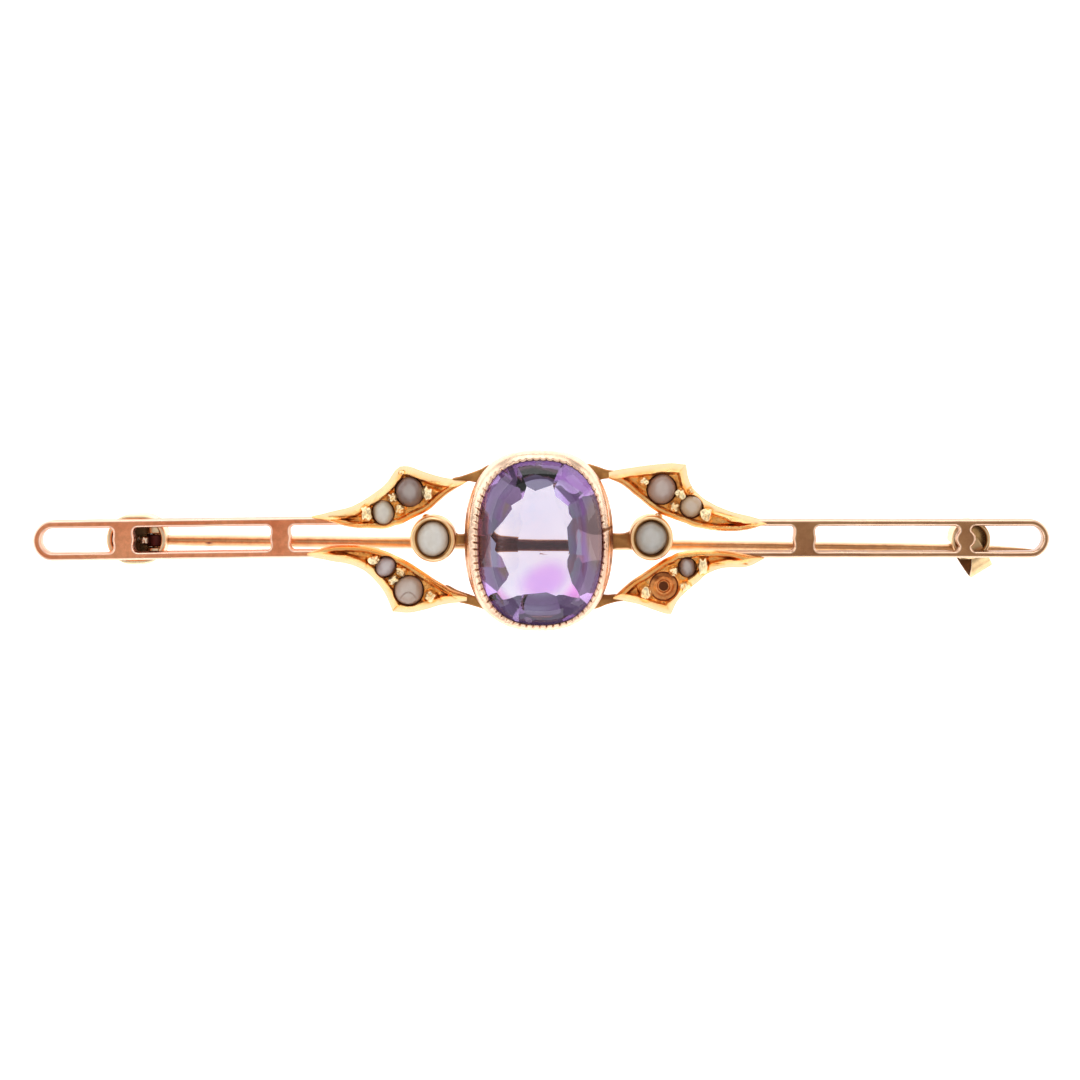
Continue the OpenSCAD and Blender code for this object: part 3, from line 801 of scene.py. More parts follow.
        # painted shade in the moat round the grain
        rec = np.maximum(rec, rec * (1 - g) + 0.55 * g)
    if extra is not None:
        z, rec = extra(q, z, rec, do, di)
    n3 = np.array([nz(x * 13, y * 13, 0, seed + 3) for x, y in q])
    z = z + 0.006 * n2 + (0.005 + 0.011 * np.clip((do - 0.42) / 0.1, 0, 1) * np.clip((di - 0.2) / 0.1, 0, 1)) * n3
    z = np.maximum(z, 2.95)
    verts = [(q[i, 0], q[i, 1], z[i]) for i in range(len(q))]
    faces = []
    for i in range(nu - 1):
        for j in range(nv - 1):
            a, b, c, d = i * nv + j, (i + 1) * nv + j, (i + 1) * nv + j + 1, i * nv + j + 1
            faces.append((a, d, c, b))
    s = Soup()
    s.add(verts, faces, rec)
    # walls and back
    ring = [i * nv for i in range(nu)] + [(nu - 1) * nv + j for j in range(1, nv)] \
        + [i * nv + nv - 1 for i in range(nu - 2, -1, -1)] + [j for j in range(nv - 2, 0, -1)]
    P = np.array([s.v[i] for i in ring])
    m = len(ring)
    k0 = len(s.v)
    n = loop_normals(P[:, :2] if signed_area(P[:, :2]) > 0 else P[::-1, :2])
    if signed_area(P[:, :2]) < 0:
        n = n[::-1]
    lev = [(0.012, None, -0.05), (0.0, 2.84, 0), (-0.03, 2.76, 0), (-0.07, 2.75, 0)]
    for out_, zz, dz in lev:
        for i in range(m):
            x, y = P[i, :2] + n[i] * out_
            s.v.append((float(x), float(y), float(P[i, 2] + dz) if zz is None else zz))
            s.r.append(0.1)
    rows_ = [ring] + [[k0 + j * m + i for i in range(m)] for j in range(len(lev))]
    ccw = signed_area(P[:, :2]) > 0
    for a_, b_ in zip(rows_[:-1], rows_[1:]):
        for i in range(m):
            i2 = (i + 1) % m
            f = (a_[i], b_[i], b_[i2], a_[i2])
            s.f.append(f if ccw else f[::-1])
            s.m.append(0)
    last = rows_[-1]
    for t in tessellate_polygon([[Vector((s.v[i][0], s.v[i][1], 0)) for i in last]]):
        a, b, c = (last[i] for i in t)
        ar = (s.v[b][0] - s.v[a][0]) * (s.v[c][1] - s.v[a][1]) - (s.v[b][1] - s.v[a][1]) * (s.v[c][0] - s.v[a][0])
        if abs(ar) < 1e-10:
            continue
        s.f.append((a, c, b) if ar > 0 else (a, b, c))
        s.m.append(0)
    ob = piece(name, s, [M_LEAF, M_SEAT], nodes=("gold_frame",), sharp=50)
    if extra is not None:
        for p in ob.data.polygons:
            c = p.center
            if math.hypot(c.x / MM - 6.27, c.y / MM + 2.38) < 0.74 and c.z > 2.8 * MM:
                p.material_index = 1
    gs = []
    for k, g_ in enumerate(grains):
        x, y, gw, gh, turn, topz = g_[:6]
        pw = g_[6] if len(g_) > 6 else 2.6
        gs.append(ball((x, y, 3.26), (gw / 2, gh / 2, topz - 3.26), seed=seed + k * 1.3, rough=0.42, scale=1.5,
                       seg=36, rings=24, rot=turn, power=pw))
    if gs:
        piece(name + "_grains", join(*gs), M_GRAIN, nodes=("gold_frame",))
    return ob


def P2(px, py):
    """Photo position to millimetres on the face of the leaves."""
    return (px - 541.2) * 0.0511, (539.8 - py) * 0.0511


def GR(px, py, w, h, turn=0.0, top=3.62, power=2.6):
    x, y = P2(px, py)
    return (x, y, w * 0.0511, h * 0.0511, turn, top, power)


def LN(ax, ay, bx, by, hw=0.03, dep=0.05):
    x0, y0 = P2(ax, ay)
    x1, y1 = P2(bx, by)
    return (x0, y0, x1, y1, hw, dep)


leaf("leaf_ul", LEAF_UL, 6, "top",
     [(-6.72, 2.46, 0.73), (-8.07, 1.40, 0.58)],
     [GR(366.9, 513.5, 10, 14, 0.0, 3.66, 4.0), GR(392.9, 497.4, 9, 9, 0.4), GR(399.8, 508.9, 9, 9, 0.2),
      GR(427.6, 493.0, 11, 14, 0.3, 3.66), GR(402.5, 473.0, 5, 4, 0.0, 3.56)],
     [LN(329, 517, 361, 516, 0.045, 0.10), LN(332, 520, 361, 519, 0.03, 0.05), LN(340, 524, 366, 523, 0.025, 0.05),
      LN(432, 485, 441, 489, 0.16, 0.18), LN(432, 498, 452, 484, 0.03, 0.08)], 1.0)
leaf("leaf_ur", LEAF_UR, 5, "top",
     [(6.15, 2.59, 0.75), (7.66, 1.70, 0.57)],
     [GR(643.6, 481.4, 9, 9, 0.2, 3.62), GR(680.4, 493.6, 10, 11, 0.5), GR(674.2, 506.6, 9, 10, 0.1),
      GR(706, 514.3, 12, 12, 0.2, 3.68), GR(691, 490.3, 6, 5, 0.2, 3.56)],
     [LN(702, 524.8, 757, 523.8, 0.035, 0.12), LN(716, 512, 738, 518, 0.03, 0.04), LN(626, 477, 646, 494, 0.035, 0.07)], 2.0)
leaf("leaf_ll", LEAF_LL, 6, "bottom",
     [(-6.76, -2.58, 0.75), (-7.94, -1.38, 0.52)],
     [GR(374.5, 559.9, 11, 10, 0.2, 3.64), GR(401.3, 571.4, 9, 9, 0.1), GR(393.7, 579.8, 11, 8, 0.5, 3.62),
      GR(430.4, 596.2, 11, 10, -0.4, 3.64)],
     [LN(366.5, 558, 367, 566, 0.05, 0.12), LN(342, 552.5, 364, 557.5, 0.03, 0.06), LN(318, 552, 344, 554, 0.025, 0.04),
      LN(425, 577, 456, 598, 0.035, 0.09), LN(436, 594, 441, 599, 0.08, 0.10), LN(392.5, 611, 399, 604, 0.03, 0.10)], 3.0)


def empty_seat(q, z, rec, do, di):
    x, y = 6.27, -2.38
    rr = np.hypot(q[:, 0] - x, q[:, 1] - y)
    # the cup lies lower and brighter, the ground falls into it
    cup = 3.05 + np.clip(rr - 0.70, 0, None) * 3.0
    ring = 3.05 + 0.07 * np.exp(-((rr - 0.40) / 0.08) ** 2)
    hole = 2.76 + np.clip(rr - 0.27, 0, None) * 6.0
    inside = rr < 0.72
    z = np.where(inside, np.minimum(ring, np.maximum(hole, 2.9)), smin(z, cup, 0.02))
    # painted shade in the pilot hole, round the edge of the cup and over its upper part, and a dark spot beside it
    dark = np.clip(1 - (rr - 0.20) / 0.07, 0, 1) * 1.3
    edge = 0.9 * np.exp(-((rr - 0.72) / 0.05) ** 2)
    upper = 0.55 * np.clip((q[:, 1] - y) / 0.5, 0, 1) * (rr > 0.47) * (rr < 0.78)
    r_in = np.maximum(np.maximum(dark, upper), edge)
    spot = np.exp(-(np.hypot(q[:, 0] - 6.53, q[:, 1] + 3.13) / 0.09) ** 2)
    rec = np.where(rr < 0.80, np.maximum(r_in, spot), rec)
    return z, rec


leaf("leaf_lr", LEAF_LR, 5, "bottom",
     [(7.47, -1.40, 0.47)],
     [GR(645.9, 592.8, 11, 14, 0.1, 3.62), GR(673.8, 571.2, 9, 10, 0.4), GR(685, 586.2, 10, 9, 0.3, 3.62),
      GR(702.8, 565.6, 9, 15, 0.05, 3.66, 3.4)],
     [LN(707.5, 556.5, 708.5, 573, 0.05, 0.14), LN(708, 562.5, 724, 563, 0.09, 0.10), LN(743, 563.3, 748, 564, 0.03, 0.08),
      LN(636, 585, 641, 598, 0.035, 0.08), LN(626, 594, 637, 586, 0.03, 0.06), LN(690, 582, 693, 588, 0.035, 0.08)], 4.0,
     extra=empty_seat)

# ------------------------------------------------------------------ arms and connectors


def slab(name, pts, z0, z1, mat, rt=0.09, smooth=10, painted_shading=0.1, closed_curve=True):
    loop = catmull(pts, smooth, closed=True) if closed_curve else np.array(pts, float)
    # painted shade, deeper on the walls
    s = prism([loop], z0, z1, rt=rt, rb=0.08, seg=4, painted_shading=painted_shading, wall_painted_shading=painted_shading + 0.2)
    return piece(name, s, mat, nodes=("gold_frame",), weighted=True)


# the broad end of each arm runs into the wall of the bezel
slab("arm_ul", [(-4.55, 3.10), (-4.10, 3.24), (-3.55, 3.43), (-3.10, 3.60), (-2.65, 3.80), (-2.45, 3.3), (-2.75, 2.95),
                (-3.30, 2.93), (-3.75, 2.98), (-4.35, 2.80)], 2.5, 3.07, M_ARM)
slab("arm_ur", [(2.30, 3.85), (2.85, 3.75), (3.35, 3.58), (3.95, 3.50), (4.35, 3.40), (4.25, 3.10), (3.75, 3.14),
                (3.20, 3.10), (2.75, 3.00), (2.25, 3.3)], 2.5, 3.07, M_ARM)
slab("arm_ll", [(-4.90, -2.35), (-4.30, -2.60), (-3.75, -2.80), (-3.30, -2.95), (-2.95, -2.98), (-2.45, -3.2), (-2.60, -3.70),
                (-3.10, -3.52), (-3.70, -3.34), (-4.35, -3.18), (-4.85, -3.0)], 2.5, 3.07, M_ARM)
slab("arm_lr", [(2.45, -2.70), (3.05, -2.80), (3.40, -2.84), (3.85, -2.80), (4.35, -2.75), (4.40, -3.08), (3.85, -3.20),
                (3.35, -3.34), (2.90, -3.52), (2.40, -3.6)], 2.5, 3.07, M_ARM)
slab("connector_left", [(-3.35, 0.75), (-3.72, 0.40), (-3.90, 0.30), (-4.25, 0.28), (-4.45, 0.42), (-4.75, 0.5), (-4.75, -0.45),
                        (-4.45, -0.40), (-4.25, -0.27), (-3.95, -0.26), (-3.75, -0.40), (-3.35, -0.8)], 2.4, 3.1, M_ARM)
slab("connector_right", [(3.15, 0.70), (3.45, 0.46), (3.62, 0.34), (4.10, 0.30), (4.40, 0.36), (4.80, 0.55), (4.80, -0.50),
                         (4.40, -0.44), (4.10, -0.44), (3.80, -0.46), (3.58, -0.54), (3.15, -0.9)], 2.4, 3.1, M_ARM)
sold = join(ball((-5.90, 1.14, 2.86), (0.22, 0.15, 0.20), seed=61, rough=0.3, seg=28, rings=18, rot=0.5),
            ball((6.02, 1.22, 2.86), (0.22, 0.15, 0.20), seed=62, rough=0.3, seg=28, rings=18, rot=-0.5))
sold.r = [-0.7] * len(sold.v)
piece("solder", sold, M_COLLET, nodes=("gold_frame",))

# ------------------------------------------------------------------ bezel

BK = 1152
BEADS = 72


def bezel():
    """Collet wall with a flare at its sides, a smooth rounded rim, and a milgrained lip rubbed over the stone."""
    out_c = cushion(3.64, 4.59, 2.5, 1440)
    in_c = cushion(3.12, 4.15, 2.5, 1440)
    s = Soup()
    oc, ic = np.array([-0.12, 0.0]), np.array([-0.06, -0.08])

    def on(curve, c, ang):
        """Points of a curve in given directions from its centre."""
        a = np.unwrap(np.arctan2(curve[:, 1], curve[:, 0]))
        r = np.hypot(curve[:, 0], curve[:, 1])
        t = (ang - a[0]) % (2 * PI) + a[0]
        rr = np.interp(t, np.append(a, a[0] + 2 * PI), np.append(r, r[0]))
        return np.stack([c[0] + rr * np.cos(ang), c[1] + rr * np.sin(ang)], 1)
    inner = resample(in_c, BK, closed=True)
    ang = np.arctan2(inner[:, 1], inner[:, 0])
    A = on(out_c, oc, ang)
    B = on(in_c, ic, ang)
    n = loop_normals(A)
    # outside wall: outward offset, share of the side flare, height, painted shading (painted shade low on the wall, a
    # painted highlight near its top)
    wall = [(-0.34, 0, 1.72, 0.2), (-0.10, 1, 1.70, 0.2), (-0.02, 1, 1.76, 0.3), (0.0, 1, 1.9, 0.6), (0.0, 1, 2.6, 0.75), (0.0, 1, 3.2, 0.8),
            (0.0, 1, 3.52, 0.7), (-0.01, 0.9, 3.64, 0.5), (-0.02, 0.4, 3.74, 0.5), (-0.03, 0, 3.84, 0.2), (-0.03, 0, 3.97, -0.2),
            (-0.022, 0, 4.04, -0.7), (-0.01, 0, 4.12, -1.0), (-0.004, 0, 4.20, -1.0)]
    # rim: share of the way from the outer to the inner edge, height
    rim = [(0.03, 4.27), (0.08, 4.325), (0.14, 4.375), (0.21, 4.422), (0.28, 4.462), (0.35, 4.497), (0.42, 4.528), (0.49, 4.555), (0.56, 4.579),
           (0.63, 4.599), (0.70, 4.615), (0.76, 4.625), (0.81, 4.627), (0.86, 4.620), (0.905, 4.600), (0.945, 4.560), (0.98, 4.49), (1.0, 4.40), (1.005, 4.28)]
    verts, rec = [], []
    m = len(wall) + len(rim)
    for i in range(BK):
        th = ang[i]
        side = abs(math.cos(th)) ** 1.5
        left = max(0.0, -math.cos(th)) ** 2
        right = B[i, 0] > 0
        near = math.exp(-((B[i, 1] - 0.50) / 0.10) ** 2) if right else 0.0
        gape = 0.10 * math.exp(-((B[i, 1] + 0.35) / 1.0) ** 2) if right else 0.0
        dip = 0.02 * nz(math.cos(th) * 2, math.sin(th) * 2, 0, 7)
        thick = float(np.linalg.norm(A[i] - B[i]))
        inward = (B[i] - A[i]) / thick
        # the ridges of the milgrain are longest on the left
        reach = 0.21 + 0.17 * left - 0.05 * max(0.0, math.sin(th)) ** 2
        ph = (i * BEADS / BK) % 1.0
        gap_ = max(0.0, 1 - min(ph, 1 - ph) / 0.24)
        uneven = 0.8 + 0.5 * nz(int(i * BEADS / BK) * 1.7, 0, 0, 3)
        for off, fl, z, rc in wall:
            o = off + fl * 0.15 * side
            p = A[i] + n[i] * o
            verts.append((p[0], p[1], z))
            # painted shade on the wall, strongest at the sides and at the nick on the right
            rec.append(max(rc * side if rc > 0 else rc, 0.9 * near))
        for sh, z in rim:
            p = A[i] + inward * (thick * sh - gape * max(0.0, sh - 0.4) / 0.6)
            d_in = (1 - sh) * thick
            w = min(1.0, max(0.0, 1 - d_in / reach) * 2.2)
            zz = z + dip * min(1.0, sh * 3) + 0.012 * w - 0.13 * gap_ * w * uneven - 0.16 * near * sh
            back_off = -0.035 * gap_ * (1 if sh > 0.95 else 0)
            p = p + inward * back_off
            verts.append((p[0], p[1], zz))
            # painted highlight on the outer part of the rim, painted shade in the milgrain gaps, at the nick and along
            # the inner edge
            r0 = -1.0 + 0.85 * min(1.0, max(0.0, (sh - 0.15) / 0.6))
            rec.append(max(r0, 0.95 * gap_ * w * uneven - 0.15 if w > 0.2 and gap_ > 0 else -1, near, 0.6 if sh > 0.995 else -1))
    inner_prof = [(-0.04, 4.25), (-0.04, 3.98), (0.26, 3.96), (0.26, 3.52), (0.10, 3.48), (0.10, 1.86), (0.06, 1.72)]
    g = on(cushion(3.26, 4.29, 2.5, 1440), ic, ang)
    gn = loop_normals(g)
    for i in range(BK):
        for inset, z in inner_prof:
            p = g[i] - gn[i] * inset
            verts.append((p[0], p[1], z))
            # painted shade on the inner wall, more of it near the top
            rec.append(0.6 if z > 4.1 else 0.1)
    k = len(inner_prof)

    def vid(i, j):
        i %= BK
        return i * m + j if j < m else BK * m + i * k + (j - m)
    faces = []
    tot = m + k
    for i in range(BK):
        for j in range(tot):
            j2 = (j + 1) % tot
            faces.append((vid(i, j), vid(i + 1, j), vid(i + 1, j2), vid(i, j2)))
    s.add(verts, faces, rec)
    return s


ob = piece("bezel", bezel(), M_BEZEL, nodes=("gold_frame",), sharp=70)
fix_normals(ob)

# ------------------------------------------------------------------ pearl collets


def collet(name, cx, cy, r, seed, oval):
    prof = [(r - 0.10, 2.2), (r - 0.02, 2.21), (r, 2.28), (r, 2.9), (r - 0.005, 3.45), (r - 0.02, 3.70), (r - 0.055, 3.82), (r - 0.10, 3.89),
            (r - 0.15, 3.915), (r - 0.20, 3.90), (r - 0.235, 3.85), (r - 0.25, 3.76), (r - 0.255, 3.69), (r - 0.31, 3.66), (r - 0.315, 3.3), (r - 0.25, 2.75), (r - 0.27, 2.66),
            (0.60, 2.62), (0.02, 2.62)]
    # painted shade on the outer wall, a painted highlight on the top of the rim, and deep painted shade down the inner
    # wall and on the floor
    rec = [0.2, 0.2, 0.3, 0.3, 0.1, -0.2, -0.4, -0.5, -0.3, -0.1, 0.15, 0.4, 0.6, 0.5, 1.0, 1.2, 1.2, 1.2, 1.2]
    prof += [(0.02, 2.2)]
    rec += [0.4]
    s = lathe(cx, cy, prof, 128, wobble=lambda w, j: (-0.055 * math.cos(2 * w) if j in (13, 14) else -0.04 * math.cos(2 * w) if 8 < j < 13 else -oval * math.cos(2 * w))
              + 0.008 * math.sin(2 * w + seed) + 0.012 * nz(math.cos(w) * 1.3, math.sin(w) * 1.3, 0.3 * min(j, 13), seed), painted_shading=rec)
    ob = piece(name, s, M_COLLET, nodes=("gold_frame",), sharp=60)
    fix_normals(ob)
    return ob


collet("collet_left", -5.51, 0.07, 1.19, 3, 0.005)
collet("collet_right", 5.61, 0.12, 1.15, 8, 0.03)

# ------------------------------------------------------------------ pearls


def pearl(name, node_name, centre, radii, mat, seed, rough=0.06, rot=0.0, z_cut=None, dent=None, rec=None):
    s = ball(centre, radii, seed=seed, rough=rough, scale=1.1, seg=72, rings=44, rot=rot, z_cut=z_cut, dent=dent,
             painted_shading=rec if rec is not None else 0.0)
    ob = piece(name, s, mat, nodes=(node_name,))
    return ob


def crack(d):
    """Crescent crack over the lower part of a pearl."""
    x, y = d[0], d[1]
    rr = math.hypot(x + 0.02, y + 0.62)
    return 0.05 * math.exp(-((rr - 0.52) / 0.045) ** 2) if (y > -0.55 and d[2] > 0) else 0.0


PC_L = pearl_mat("pearl_cream", (0.62, 0.59, 0.54), (0.55, 0.50, 0.43), (0.30, 0.20, 0.12), 1)
PC_R = pearl_mat("pearl_grey", (0.38, 0.36, 0.33), (0.34, 0.30, 0.25), (0.22, 0.14, 0.08), 2)
P_ULL = pearl_mat("pearl_mauve", (0.25, 0.165, 0.14), (0.20, 0.125, 0.10), (0.09, 0.04, 0.03), 3, 0.36)
P_ULS = pearl_mat("pearl_silver", (0.58, 0.52, 0.43), (0.50, 0.43, 0.34), (0.24, 0.14, 0.075), 4)
P_URL = pearl_mat("pearl_rose_grey", (0.36, 0.235, 0.185), (0.31, 0.19, 0.145), (0.17, 0.08, 0.05), 5, 0.36)
P_URS = pearl_mat("pearl_sand", (0.54, 0.40, 0.26), (0.46, 0.31, 0.19), (0.24, 0.12, 0.06), 6, 0.34)
P_LLL = pearl_mat("pearl_taupe", (0.46, 0.34, 0.28), (0.41, 0.29, 0.22), (0.22, 0.12, 0.08), 7, 0.34)
P_LLS = pearl_mat("pearl_lilac", (0.44, 0.36, 0.36), (0.38, 0.29, 0.28), (0.18, 0.10, 0.09), 8)
P_LRS = pearl_mat("pearl_plum", (0.31, 0.215, 0.19), (0.24, 0.155, 0.13), (0.09, 0.045, 0.035), 9)

pearl("pearl_collet_left", "collet_pearl_left", (-5.51, 0.07, 3.48), (0.815, 0.905, 0.82), PC_L, 1)
pearl("pearl_collet_right", "collet_pearl_right", (5.61, 0.12, 3.48), (0.80, 0.88, 0.82), PC_R, 2)
pearl("pearl_ul_large", "leaf_pearl_ul_large", (-6.72, 2.46, 3.13), (0.70, 0.78, 0.74), P_ULL, 3, rot=0.2, z_cut=3.05)
pearl("pearl_ul_small", "leaf_pearl_ul_small", (-8.07, 1.40, 3.13), (0.53, 0.64, 0.60), P_ULS, 4, 0.08, rot=0.1, z_cut=3.05)
pearl("pearl_ur_large", "leaf_pearl_ur_large", (6.15, 2.59, 3.13), (0.71, 0.79, 0.75), P_URL, 5, rot=-0.3, z_cut=3.05)
pearl("pearl_ur_small", "leaf_pearl_ur_small", (7.66, 1.70, 3.13), (0.57, 0.57, 0.58), P_URS, 6, 0.05, z_cut=3.05)
# painted shade along the crack
pearl("pearl_ll_large", "leaf_pearl_ll_large", (-6.76, -2.58, 3.13), (0.74, 0.76, 0.75), P_LLL, 7, 0.07, z_cut=3.05, dent=crack,
      rec=lambda d: min(1.0, 14 * crack(d)))
pearl("pearl_ll_small", "leaf_pearl_ll_small", (-7.94, -1.38, 3.13), (0.47, 0.57, 0.54), P_LLS, 8, 0.14, rot=-0.7, z_cut=3.05)
pearl("pearl_lr_small", "leaf_pearl_lr_small", (7.47, -1.40, 3.13), (0.41, 0.52, 0.50), P_LRS, 9, 0.10, rot=0.1, z_cut=3.05)

# ------------------------------------------------------------------ amethyst


def support(a, b, n, phi):
    """Reach of the cushion outline in a direction."""
    m = n / (n - 1)
    return ((a * abs(math.cos(phi))) ** m + (b * abs(math.sin(phi))) ** m) ** (1 / m)


def solid_from_planes(planes, size=30.0):
    """Convex solid kept by all planes (normal, distance), as flat facets."""
    verts, faces = [], []

    def vid(p):
        for i in range(len(verts)):
            q = verts[i]
            if abs(q[0] - p[0]) < 2e-5 and abs(q[1] - p[1]) < 2e-5 and abs(q[2] - p[2]) < 2e-5:
                return i
        verts.append(tuple(p))
        return len(verts) - 1
    for i, (n, d) in enumerate(planes):
        n = np.array(n)
        up = np.array([0, 0, 1.0]) if abs(n[2]) < 0.9 else np.array([1.0, 0, 0])
        u = np.cross(up, n)
        u /= np.linalg.norm(u)
        v = np.cross(n, u)
        c = n * d
        poly = [c + size * (sx * u + sy * v) for sx, sy in ((-1, -1), (1, -1), (1, 1), (-1, 1))]
        for j, (m, e) in enumerate(planes):
            if j == i or not poly:
                continue
            m = np.array(m)
            out = []
            for k in range(len(poly)):
                a, b = poly[k], poly[(k + 1) % len(poly)]
                da, db = a @ m - e, b @ m - e
                if da <= 1e-9:
                    out.append(a)
                if (da < -1e-9 and db > 1e-9) or (da > 1e-9 and db < -1e-9):
                    t = da / (da - db)
                    out.append(a + (b - a) * t)
            poly = out
        if len(poly) < 3:
            continue
        idx = []
        for p in poly:
            k = vid(p)
            if k not in idx:
                idx.append(k)
        if len(idx) >= 3:
            faces.append(tuple(idx))
    return verts, faces


# corners of the clear middle of the pavilion, anticlockwise: place (mm from the middle of the stone), slope of the
# steep facet on to the next corner, turn of the mild facet that ends in the corner (degrees)
GEM_CORNERS = [  # x, y, steep, turn
    (1.80, -2.68, 44, 0),
    (1.52, -0.62, 44, 0),
    (1.65, 1.17, 43, 0),
    (1.43, 1.82, 43, 0),
    (0.65, 2.90, 44, 0),
    (-0.68, 2.82, 43, 0),
    (-1.46, 1.85, 43, 0),
    (-1.92, 1.00, 44, 7),
    (-2.22, 0.28, 44, 0),
    (-2.11, -0.41, 44, 0),
    (-2.06, -2.78, 46, 0),
    (-0.92, -2.72, 44, 0),
    (0.83, -2.77, 44, 0),
]
# mild facets that end in a straight edge: a point of the edge, direction and slope (degrees)
GEM_EDGES = [  # x, y, direction, mild
    (0.02, 2.36, 90, 31),
    (-0.05, -2.62, 270, 30),
]
# long low facets of the keel: direction and slope (degrees), height of the plane under the middle (mm)
GEM_KEEL = [  # direction, slope, z
    (0, 12, 1.97),
    (180, 13, 1.97),
    (62, 17, 1.80),
    (121, 16, 1.82),
    (242, 17, 1.78),
    (300, 18, 1.80),
]
# bowl that the mild facets touch: its middle and lowest height (mm), rise along and across the bar
BOWL_X, BOWL_Y, BOWL_Z, BOWL_SIDE, BOWL_END, BOWL_TOP = 0.15, -0.05, 1.33, 0.69, 0.54, 3.28
GEM_A, GEM_B, GEM_N = 3.26, 4.29, 2.5
GIRDLE_Z, TABLE_Z, CULET_Z, CROWN_REACH, CROWN_POWER = 4.24, 4.95, 1.95, 1.30, 2.0


def gem_pavilion():
    """Facets of the pavilion as (rise, height under the middle): mild ones touch the bowl at the corners of the clear
    middle, and steep ones run from each pair of corners up to the girdle."""
    rim = [(2 * PI * k / 180, support(GEM_A, GEM_B, GEM_N, 2 * PI * k / 180)) for k in range(180)]
    c = [np.array(row[:2]) for row in GEM_CORNERS]
    z, mild = [], []
    for i, p in enumerate(c):
        gap = min(h - p[0] * math.cos(t) - p[1] * math.sin(t) for t, h in rim)
        most = GIRDLE_Z - 0.07 - gap * math.tan(math.radians(max(GEM_CORNERS[i][2], GEM_CORNERS[i - 1][2])))
        u, v = (p[0] - BOWL_X) * BOWL_SIDE, (p[1] - BOWL_Y) * BOWL_END
        q = math.hypot(u, v)
        t = math.radians(GEM_CORNERS[i][3])
        gx, gy = u * BOWL_SIDE / q, v * BOWL_END / q
        mild.append(np.array([gx * math.cos(t) - gy * math.sin(t), gx * math.sin(t) + gy * math.cos(t)]))
        z.append(min(BOWL_Z + q, most, BOWL_TOP))
    facets = []
    for i in range(len(c)):
        j = (i + 1) % len(c)
        e = c[j] - c[i]
        length = float(np.linalg.norm(e))
        along = (z[j] - z[i]) / length
        out_ = math.sqrt(max(math.tan(math.radians(GEM_CORNERS[i][2])) ** 2 - along ** 2, 0.04))
        g = e / length * along + np.array([e[1], -e[0]]) / length * out_
        facets.append((g, z[i] - float(g @ c[i])))
    steep = list(facets)
    for g, p, h in zip(mild, c, z):
        facets.append((g, h - float(g @ p)))
    for x, y, ph, sl in GEM_EDGES:
        p = np.array([x, y])
        g = math.tan(math.radians(sl)) * np.array([math.cos(math.radians(ph)), math.sin(math.radians(ph))])
        facets.append((g, max(float(gs @ p) + hs for gs, hs in steep) - float(g @ p)))
    for ph, sl, h in GEM_KEEL:
        facets.append((math.tan(math.radians(sl)) * np.array([math.cos(math.radians(ph)), math.sin(math.radians(ph))]), h))
    return facets


def gem_solid():
    """Faceted pavilion and girdle under a buffed crown: a soft curve that runs up to a flat table."""
    planes = []
    for k in range(72):
        ph = 2 * PI * (k + 0.5) / 72
        planes.append((np.array([math.cos(ph), math.sin(ph), 0.0]), support(GEM_A, GEM_B, GEM_N, ph)))
    planes.append((np.array([0.0, 0.0, 1.0]), GIRDLE_Z))
    planes.append((np.array([0.0, 0.0, -1.0]), -CULET_Z))
    for g, h in gem_pavilion():
        length = math.sqrt(float(g @ g) + 1)
        planes.append((np.array([g[0], g[1], -1.0]) / length, -h / length))
    v, f = solid_from_planes(planes)
    top = [fc for fc in f if all(abs(v[i][2] - GIRDLE_Z) < 1e-4 for i in fc)][0]
    f = [fc for fc in f if fc is not top]
    flat_faces = len(f)
    ring = sorted(top, key=lambda i: math.atan2(v[i][1], v[i][0]))
    base = [v[i][:2] for i in ring]
    v = list(v)
    rings = 20
    for j in range(1, rings + 1):
        ins = CROWN_REACH * (1 - (1 - j / rings) ** 1.25)
        zz = GIRDLE_Z + (TABLE_Z - GIRDLE_Z) * (1 - (1 - ins / CROWN_REACH) ** CROWN_POWER)
        cur = []
        for x, y in base:
            cur.append(len(v))
            v.append((x * (GEM_A - ins) / GEM_A, y * (GEM_B - ins) / GEM_B, zz))
        for i in range(len(ring)):
            k = (i + 1) % len(ring)
            f.append((ring[i], ring[k], cur[k], cur[i]))
        ring = cur
    f.append(tuple(ring))
    return [(x - 0.06, y - 0.08, zz) for x, y, zz in v], f, flat_faces


